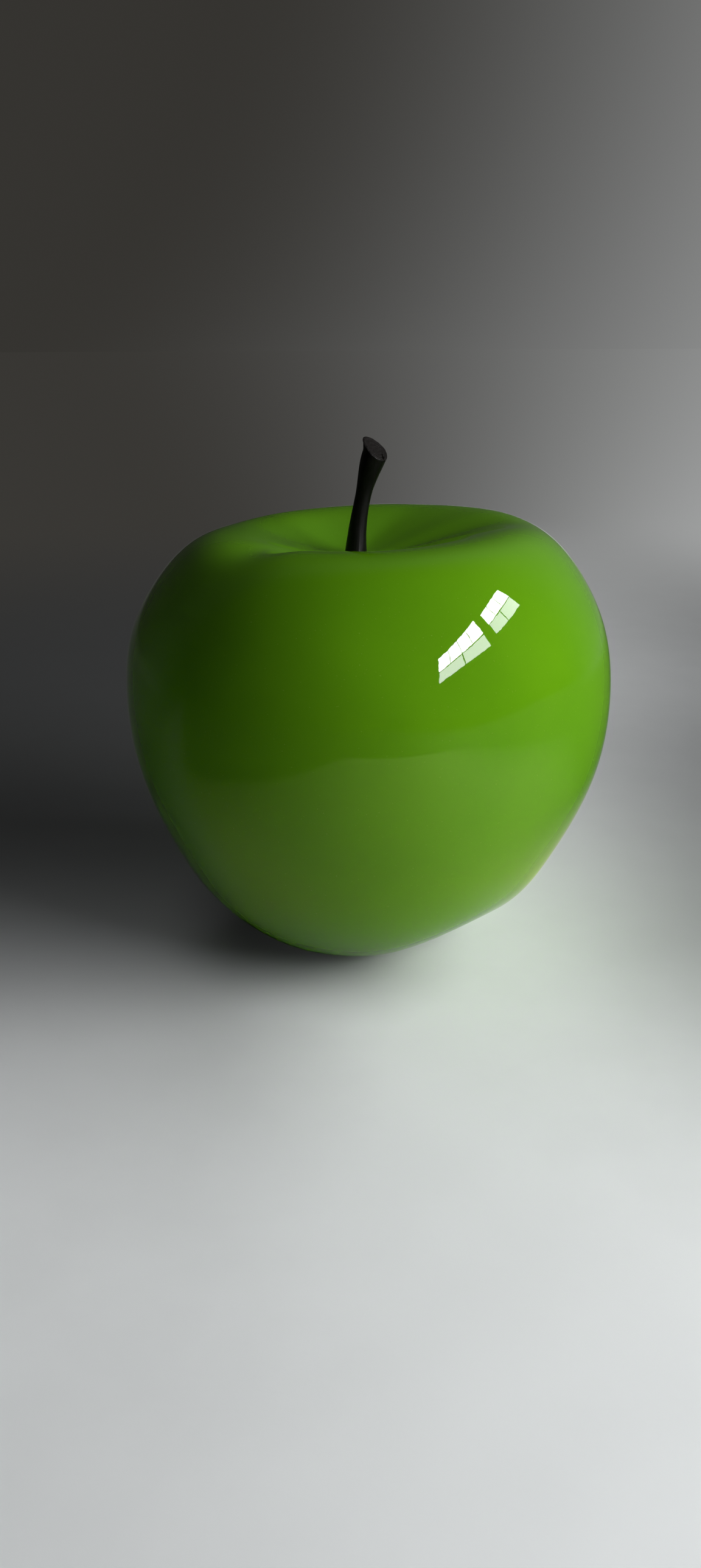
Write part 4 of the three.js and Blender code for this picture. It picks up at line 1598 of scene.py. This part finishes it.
@dataclass
class StemFixing:
    """Stud, backing plate, washers and nut that hold the stem from inside the shell."""

    skin: AppleSkin
    boss_thickness: float = 0.005
    hole: float = 0.0028
    stud_radius: float = 0.0025
    stud_core: float = 0.0021
    stud_pitch: float = 0.0008
    stud_embed: float = 0.014
    stud_end: float = 0.003
    plate_radius: float = 0.013
    plate_thickness: float = 0.002
    washer_radius: float = 0.0075
    washer_thickness: float = 0.0012
    spring_radius: float = 0.0046
    spring_thickness: float = 0.0012
    spring_slit: float = 0.0009
    nut_flats: float = 0.008
    nut_thickness: float = 0.004
    nut_face: float = 0.95
    nut_mouth: float = 0.0004
    edge: float = 0.00025
    spring_sections: int = 96
    bore_sides: int = 48

    def ring(self, name: str, radius: float, low: float, high: float) -> bpy.types.Mesh:
        """Flat ring with rounded edges between two heights on the stem's axis."""
        corners = [(self.hole, low), (radius, low), (radius, high), (self.hole, high)]
        return turned_mesh(name, rounded(corners, self.edge), self.axis)

    @property
    def axis(self) -> np.ndarray:
        """Foot of the stem's axis."""
        return np.array([self.skin.seat_shift, 0, 0]) + ORIGIN

    def spring_washer(self, low: float) -> bpy.types.Mesh:
        """Makes the spring washer as it lies when it is drawn tight, with its slit.

        Args:
            low: The height of its underside.

        Returns:
            Its mesh.
        """
        corners = [(self.hole, 0), (self.spring_radius, 0), (self.spring_radius, self.spring_thickness),
                   (self.hole, self.spring_thickness)]
        section = np.array(rounded(corners, self.edge))
        centre = np.array([(self.hole + self.spring_radius) / 2, self.spring_thickness / 2])
        sections, ends = [], []
        for angle in np.linspace(self.spring_slit / self.spring_radius, 2 * np.pi, self.spring_sections):
            turn = np.array([math.cos(angle), math.sin(angle), 0])
            sections.append(section[:, :1] * turn + section[:, 1:] * np.array([0, 0, 1]) + self.axis + [0, 0, low])
            ends.append(centre[0] * turn + np.array([0, 0, centre[1] + low]) + self.axis)
        return loft_mesh("stem_spring", sections, [ends[0], ends[-1]])

    def nut(self, low: float) -> bpy.types.Object:
        """Makes the hexagon nut, with chamfered corners and a chamfered bore.

        Args:
            low: The height of its underside.

        Returns:
            The nut.
        """
        corner = self.nut_flats / math.sqrt(3)
        face = self.nut_face * self.nut_flats / 2
        slope = (corner - face) * math.tan(math.pi / 6)
        high = low + self.nut_thickness
        sides = [(0, low), (corner, low), (corner, high), (0, high)]
        prism = turned_mesh("stem_lock_nut", sides, self.axis, 6, math.pi / 2)
        cone = [(0, low), (face, low), (corner, low + slope), (corner, high - slope), (face, high), (0, high)]
        nut = place_piece(prism, [PlatedSteel()])
        carve(nut, [turned_mesh("cone", cone, self.axis)], Cut.DOWN_TO)
        mouth, foot, top = self.hole + self.nut_mouth, low - OVERCUT, high + OVERCUT
        bore = [(0, foot), (mouth, foot), (mouth, low), (self.hole, low + self.nut_mouth),
                (self.hole, high - self.nut_mouth), (mouth, high), (mouth, top), (0, top)]
        return carve(nut, [turned_mesh("bore", bore, self.axis, self.bore_sides)])

    def build(self, thread: PatternTree) -> None:
        """Builds the stack from the boss down.

        Args:
            thread: The tree that makes threads.
        """
        plate_top = self.skin.seat_height - self.boss_thickness
        plate = plate_top - self.plate_thickness
        washer = plate - self.washer_thickness
        spring = washer - self.spring_thickness
        nut = spring - self.nut_thickness
        for name, radius, low, high, node in (
            ("stem_plate", self.plate_radius, plate, plate_top, "stem_backing_plate"),
            ("stem_flat_washer", self.washer_radius, washer, plate, "stem_washer"),
        ):
            finish_piece(place_piece(self.ring(name, radius, low, high), [PlatedSteel()]), [node])
        finish_piece(place_piece(self.spring_washer(spring), [PlatedSteel()]), ["stem_spring_washer"])
        finish_piece(self.nut(nut), ["stem_nut"])
        length = self.skin.seat_height + self.stud_embed - nut + self.stud_end
        stud = thread.grow(
            "stem_threaded_stud", Radius=self.stud_radius, Core_Radius=self.stud_core, Pitch=self.stud_pitch,
            Length=length, Material=PlatedSteel().material(),
        )
        stud.data.transform(Matrix.Translation(self.axis + [0, 0, nut - self.stud_end]))
        finish_piece(stud, ["stem_stud"])


@dataclass
class BaseClosure:
    """Plywood ring, cover and screws that close the access hole under the base."""

    skin: AppleSkin
    wall: float = 0.003
    access_radius: float = 0.019
    ring_overlap: float = 0.005
    ring_thickness: float = 0.009
    ring_edge: float = 0.0004
    cover_clearance: float = 0.0005
    cover_thickness: float = 0.003
    cover_edge: float = 0.0008
    cover_softness: float = 0.0002
    rib_height: float = 0.0004
    rib_radii: Pair = (0.0055, 0.0145)
    rib_foot: float = 0.0007
    rib_crest: float = 0.0003
    rim_radius: float = 0.02
    rim_slope: float = 0.0005
    grip_ribs: int = 60
    grip_radius: float = 0.0165
    grip_length: float = 0.0024
    grip_half_width: float = 0.0003
    grip_sink: float = 0.0003
    grip_rise: float = 0.0006
    grip_softness: float = 0.0001
    screw_count: int = 3
    screw_radius: float = 0.0019
    screw_core: float = 0.0015
    screw_pitch: float = 0.0014
    head_radius: float = 0.0037
    head_height: float = 0.0022
    head_land: float = 0.0002
    head_softness: float = 0.00008
    screw_length: float = 0.013
    shank_sink: float = 0.0001
    point_length: float = 0.0025
    point_root: float = 0.003
    point_waist: float = 0.97
    point_tip: Pair = (0.0002, 0.0001)
    fit_clearance: float = 0.0003
    slot_width: float = 0.0009
    slot_length: float = 0.0042
    slot_depth: float = 0.0013
    slot_taper: float = 0.62
    cover_sides: int = 128
    head_sides: int = 64
    sink_sides: int = 48
    drill_sides: int = 32

    @property
    def centre(self) -> np.ndarray:
        """Where the closure's axis meets the underside of the ledge."""
        return np.array([self.skin.foot_shift, 0, self.skin.recess_height]) + ORIGIN

    @property
    def pitch_radius(self) -> float:
        """Radius of the circle that the screws stand on."""
        return (self.access_radius + self.skin.recess_radius) / 2

    def screw_places(self) -> list[np.ndarray]:
        """Axes of the screws, at the height of the ledge."""
        angles = [math.tau * i / self.screw_count + math.pi / 2 for i in range(self.screw_count)]
        return [self.centre + self.pitch_radius * np.array([math.cos(a), math.sin(a), 0]) for a in angles]

    def ring(self) -> bpy.types.Object:
        """Makes the plywood ring on the ledge, drilled for the screws.

        Returns:
            The ring.
        """
        low, high = self.wall, self.wall + self.ring_thickness
        wide = self.skin.recess_radius + self.ring_overlap
        corners = [(self.access_radius, low), (wide, low), (wide, high), (self.access_radius, high)]
        section = rounded(corners, self.ring_edge)
        ring = place_piece(turned_mesh("base_plywood_ring", section, self.centre), [Plywood()])
        hole = self.screw_radius + self.fit_clearance
        drill = [(0, low - OVERCUT), (hole, low - OVERCUT), (hole, high + OVERCUT), (0, high + OVERCUT)]
        return carve(ring, [turned_mesh("drill", drill, place, self.drill_sides) for place in self.screw_places()])

    def cover(self, rings: PatternTree) -> bpy.types.Object:
        """Moulded cover with a raised rim, two low ribs, a ring of grip ribs and countersunk holes.

        Args:
            rings: The tree that sets copies in a ring.

        Returns:
            The cover.
        """
        wide, low = self.skin.recess_radius - self.cover_clearance, -self.cover_thickness
        sunk = low + self.rib_height
        edge = [(0.0, sunk)]
        foot, crest = self.rib_foot, self.rib_crest
        for rib in self.rib_radii:
            edge += [(rib - foot, sunk), (rib - crest, low), (rib + crest, low), (rib + foot, sunk)]
        edge += [(self.rim_radius - self.rim_slope, sunk), (self.rim_radius, low), (wide - self.cover_edge, low),
                 (wide, low + self.cover_edge), (wide, 0.0), (0.0, 0.0)]
        profile = rounded(edge, self.cover_softness, False, 2)
        disc = turned_mesh("base_moulded_cover", profile, self.centre, self.cover_sides)
        cover = place_piece(disc, [MouldedPlastic()])
        mouth, hole = self.head_radius + self.fit_clearance, self.screw_radius + self.fit_clearance
        sink = [(0, low - OVERCUT), (mouth, low - OVERCUT), (mouth, low + self.fit_clearance),
                (hole, low + self.head_height + self.fit_clearance), (hole, OVERCUT), (0, OVERCUT)]
        carve(cover, [turned_mesh("countersink", sink, place, self.sink_sides) for place in self.screw_places()])
        long, half = self.grip_length, self.grip_half_width
        bar = np.array(rounded([(0, -half), (long, -half), (long, half), (0, half)], self.grip_softness))
        levels = (sunk - self.grip_sink, sunk + self.grip_rise)
        grip = loft_mesh("grip", [np.column_stack([bar, np.full(len(bar), z)]) for z in levels],
                         [np.array([long / 2, 0, z]) for z in levels])
        pattern = bpy.data.objects.new("grip", grip)
        ribs = rings.grow("grips", Piece=pattern, Count=self.grip_ribs, Radius=self.grip_radius, First_Angle=0.0,
                          Centre=tuple(self.centre), Material=MouldedPlastic().material())
        join_into(cover, [ribs])
        bpy.data.objects.remove(pattern)
        return cover

    def screws(self, thread: PatternTree, rings: PatternTree) -> bpy.types.Object:
        """Countersunk cross-head screws, heads down.

        Args:
            thread: The tree that makes threads.
            rings: The tree that sets copies in a ring.

        Returns:
            One piece that holds every screw.
        """
        neck = self.head_height
        wide, core = self.head_radius, self.screw_core
        head = rounded([(0, 0), (wide, 0), (wide, self.head_land), (core, neck), (0, neck)],
                       self.head_softness, False, 2)
        screw = place_piece(turned_mesh("screw", head, (0, 0, 0), self.head_sides), [PlatedSteel()])
        deep, wide, long = self.slot_depth, self.slot_width / 2, self.slot_length / 2
        slots = []
        for x, y in ((long, wide), (wide, long)):
            mouth = np.array([(side * x, end * y, -OVERCUT) for side, end in ((-1, -1), (1, -1), (1, 1), (-1, 1))])
            floor = mouth * np.array([self.slot_taper, self.slot_taper, 0]) + np.array([0, 0, deep])
            slots.append(loft_mesh("slot", [mouth, floor], [mouth.mean(axis=0), floor.mean(axis=0)]))
        carve(screw, slots)
        steel = PlatedSteel().material()
        shank = thread.grow("shank", Radius=self.screw_radius, Core_Radius=core, Pitch=self.screw_pitch,
                            Length=self.screw_length - neck - self.point_length, Material=steel)
        shank.data.transform(Matrix.Translation((0, 0, neck - self.shank_sink)))
        root, end, (blunt, slope) = -self.point_root, self.point_length, self.point_tip
        tip = [(0, root), (core, root), (core * self.point_waist, 0.0), (blunt, end - slope), (0, end)]
        point = turned_mesh("point", tip, (0, 0, self.screw_length - end), self.drill_sides)
        join_into(screw, [shank, place_piece(point, [PlatedSteel()])])
        foot = self.centre - np.array([0, 0, self.cover_thickness])
        result = rings.grow("cover_screws", Piece=screw, Count=self.screw_count, Radius=self.pitch_radius,
                            First_Angle=math.pi / 2, Centre=tuple(foot), Material=steel)
        bpy.data.objects.remove(screw)
        return result

    def build(self, thread: PatternTree, rings: PatternTree) -> None:
        """Builds the ring, the cover and the screws.

        Args:
            thread: The tree that makes threads.
            rings: The tree that sets copies in a ring.
        """
        finish_piece(self.ring(), ["base_ring"])
        finish_piece(self.cover(rings), ["base_cover"])
        nodes = [f"base_screw_{i + 1}" for i in range(self.screw_count)]
        finish_piece(self.screws(thread, rings), nodes)


def join_into(piece: bpy.types.Object, others: Sequence[bpy.types.Object]) -> None:
    """Adds other pieces' meshes to a piece, which keeps its name and first material."""
    with bpy.context.temp_override(active_object=piece, selected_editable_objects=[piece, *others]):
        bpy.ops.object.join()


@dataclass
class FootPads:
    """Rubber pads under the lobes, level below and shaped to the lobe above."""

    skin: AppleSkin
    radius: float = 0.006
    glue_line: float = 0.0003
    soft_edge: float = 0.0002
    grooves: Triple = (0.3, 0.55, 0.8)
    groove_half_width: float = 0.04
    groove_depth: float = 0.00025
    crown_share: float = 0.6
    sides: int = 96

    def pad(self, lobe: int) -> bpy.types.Mesh:
        """Makes the pad under one lobe, with grooves in its tread and a soft outer edge.

        Args:
            lobe: The lobe's number, from 0.

        Returns:
            Its mesh.
        """
        column = lobe + 0.5
        centre = self.skin.point(float(Place.FOOT), column)
        angles = np.linspace(0, 2 * np.pi, self.sides, endpoint=False)
        around = np.stack([np.cos(angles), np.sin(angles)], axis=-1)

        def level(radius: float, height: float) -> np.ndarray:
            """Level ring over the pad's tread."""
            return np.column_stack([centre[:2] + around * radius, np.full(self.sides, height)])

        def shaped(radius: float, drop: float) -> np.ndarray:
            """Ring that follows the lobe above, a drop below the glue line.

            Args:
                radius: The ring's radius.
                drop: The drop.

            Returns:
                Its points.
            """
            flat = centre[:2] + around * radius
            heights = [self.skin.height_above(x, y, column) - self.glue_line - drop for x, y in flat]
            return np.column_stack([flat, heights])

        tread = []
        for groove in self.grooves:
            inner, outer = ((groove + side * self.groove_half_width) * self.radius for side in (-1, 1))
            spots = (inner, 0), (inner, self.groove_depth), (outer, self.groove_depth), (outer, 0)
            tread += [level(*spot) for spot in spots]
        soft = self.soft_edge
        spots = (self.radius - 1.5 * soft, 0), (self.radius - 0.5 * soft, 0.5 * soft), (self.radius, 2 * soft)
        edge = [level(*spot) for spot in spots]
        top = [shaped(self.radius, soft), shaped(self.radius - soft, 0), shaped(self.crown_share * self.radius, 0)]
        poles = [np.array([*centre[:2], 0]), np.array([*centre[:2], centre[2] - self.glue_line])]
        return loft_mesh(f"foot_rubber_{lobe + 1}", [*tread, *edge, *top], poles)

    def build(self) -> None:
        """Builds a pad under each lobe."""
        for lobe in range(self.skin.lobes):
            piece = place_piece(self.pad(lobe), [SoftRubber()])
            finish_piece(piece, [f"foot_pad_{lobe + 1}"])


# Studio


class Lamp(Enum):
    """What a lamp does: it shows in the lacquer's reflections, or it lights the scene."""

    REFLECTED = "reflected"
    LIGHTING = "lighting"


@dataclass(frozen=True)
class SoftLight:
    """Rectangular soft light."""

    name: str
    kind: Lamp
    place: Triple
    aim: Triple
    size: Pair
    power: float
    panes: int = 1
    pane_share: float = 0.955

    def build(self) -> None:
        """Adds the light to the scene in one or more panes side by side, hidden from the camera."""
        turn = (Vector(self.place) - Vector(self.aim)).to_track_quat("Z", "Y")
        pitch = self.size[0] / self.panes
        lamp = bpy.data.lights.new(self.name, "AREA")
        lamp.shape = "RECTANGLE"
        lamp.size, lamp.size_y = pitch * (self.pane_share if self.panes > 1 else 1.0), self.size[1]
        lamp.energy = self.power / self.panes
        for pane in range(self.panes):
            holder = bpy.data.objects.new(f"{self.name}_{pane + 1}", lamp)
            bpy.context.scene.collection.objects.link(holder)
            holder.location = Vector(self.place) + turn @ Vector(((pane + 0.5) * pitch - self.size[0] / 2, 0, 0))
            holder.rotation_euler = turn.to_euler()
            holder.visible_camera = False
            holder.visible_glossy = self.kind is Lamp.REFLECTED
            holder.visible_diffuse = self.kind is Lamp.LIGHTING


@dataclass
class Studio:
    """Floor, lights, surroundings and camera."""

    floor_half: float = 14.0
    lens: float = 27.04
    sensor: float = 36.0
    clip: Pair = (0.01, 50)
    image: tuple[int, int] = (1152, 2576)
    elevation: float = 17.9
    distance: float = 0.7309
    target_height: float = 0.13775
    target_pixel: Pair = (604.5, 1161.8)
    ambient: Colour = (0.018, 0.019, 0.019)
    mirrored_dark: Colour = (0.012, 0.012, 0.011)
    lights: tuple[SoftLight, ...] = (
        SoftLight("near_panel_top", Lamp.REFLECTED, (2.0, -2.1, 2.14), (1.0, -2.1, 2.14), (1.9, 0.52), 112, 4),
        SoftLight("near_panel_foot", Lamp.REFLECTED, (2.0, -2.1, 1.66), (1.0, -2.1, 1.66), (1.9, 0.38), 33, 2),
        SoftLight("far_panel_top", Lamp.REFLECTED, (2.0, -0.36, 2.12), (1.0, -0.36, 2.12), (1.0, 0.38), 43, 3),
        SoftLight("far_panel_foot", Lamp.REFLECTED, (2.0, -0.36, 1.76), (1.0, -0.36, 1.76), (1.0, 0.30), 13, 2),
        SoftLight("key", Lamp.LIGHTING, (1.88, -0.75, 0.97), (0.2, -0.5, 0.12), (1.8, 0.9), 65),
        SoftLight("top_fill", Lamp.LIGHTING, (0.0, 0.0, 2.8), (0, 0, 0.1), (3.4, 3.4), 4.5),
        SoftLight("back_fill", Lamp.LIGHTING, (0.4, 2.7, 0.5), (0, 0, 0.15), (1.2, 1.2), 28),
    )

    def floor(self) -> None:
        """Pale floor with painted light and shade in its colour, that runs into the backdrop far away."""
        half = self.floor_half
        mesh = bpy.data.meshes.new("studio_floor")
        mesh.from_pydata([(-half, -half, 0), (half, -half, 0), (half, half, 0), (-half, half, 0)], [], [(0, 1, 2, 3)])
        place_piece(mesh, [StudioPaper()], crease=None)

    def surroundings(self) -> None:
        """Even soft light from all round, the backdrop with its painted shade, and a dimmer one in the reflections."""
        world = bpy.data.worlds.new("surroundings")
        bpy.context.scene.world = world
        world.use_nodes = True
        sheet = NodeSheet(world.node_tree, "Generated")
        backdrop = Backdrop()
        seen, path = backdrop.colour(sheet), sheet.add("ShaderNodeLightPath")
        mirrored = sheet.mixed(sheet.spread(sheet.axes()[1], *backdrop.mirrored), self.mirrored_dark, seen)
        colour = sheet.mixed(path.outputs["Is Glossy Ray"], self.ambient, mirrored)
        colour = sheet.mixed(path.outputs["Is Camera Ray"], colour, seen)
        sheet.feed(sheet.tree.nodes["Background"].inputs["Color"], colour)

    def camera(self) -> None:
        """Camera of the photograph: it sees the target at a given pixel of the image."""
        tilt = math.radians(self.elevation)
        target = Vector((0, 0, self.target_height)) + Vector(ORIGIN)
        place = target + Vector((0, -math.cos(tilt), math.sin(tilt))) * self.distance
        focus = self.lens / self.sensor * max(self.image)
        across = self.target_pixel[0] - self.image[0] / 2
        below = self.target_pixel[1] - self.image[1] / 2
        aim = Matrix.Rotation(math.pi / 2 - tilt, 4, "X")
        turn = Matrix.Rotation(math.atan2(across, focus), 4, "Y")
        nod = Matrix.Rotation(math.atan2(below, math.hypot(focus, across)), 4, "X")
        holder = bpy.data.objects.new("camera", bpy.data.cameras.new("camera"))
        bpy.context.scene.collection.objects.link(holder)
        holder.data.lens, holder.data.sensor_width = self.lens, self.sensor
        holder.data.clip_start, holder.data.clip_end = self.clip
        holder.matrix_world = Matrix.Translation(place) @ aim @ nod @ turn
        bpy.context.scene.camera = holder

    def build(self) -> None:
        """Builds the studio."""
        self.floor()
        self.surroundings()
        self.camera()
        for light in self.lights:
            light.build()
        bpy.context.scene.view_settings.view_transform = "Standard"


def main() -> None:
    """Builds the apple piece by piece, then the studio."""
    logging.basicConfig(level=logging.INFO, format="%(name)s: %(message)s")
    for leftover in [o for o in bpy.data.objects if o.name in ("Cube", "Light", "Camera")]:
        bpy.data.objects.remove(leftover)
    skin = AppleSkin()
    thread, rings = thread_tree(), ring_tree()
    BodyShells(skin).build()
    Stem(skin).build()
    StemFixing(skin).build(thread)
    BaseClosure(skin).build(thread, rings)
    FootPads(skin).build()
    tape = frame["nodes"]["seam_band"]
    tape.data.materials.clear()
    tape.data.materials.append(GlassTape().material())
    log.info("%s: the CAD node, dressed in woven glass tape", tape.name)
    Studio().build()


if __name__ == "__main__":
    main()
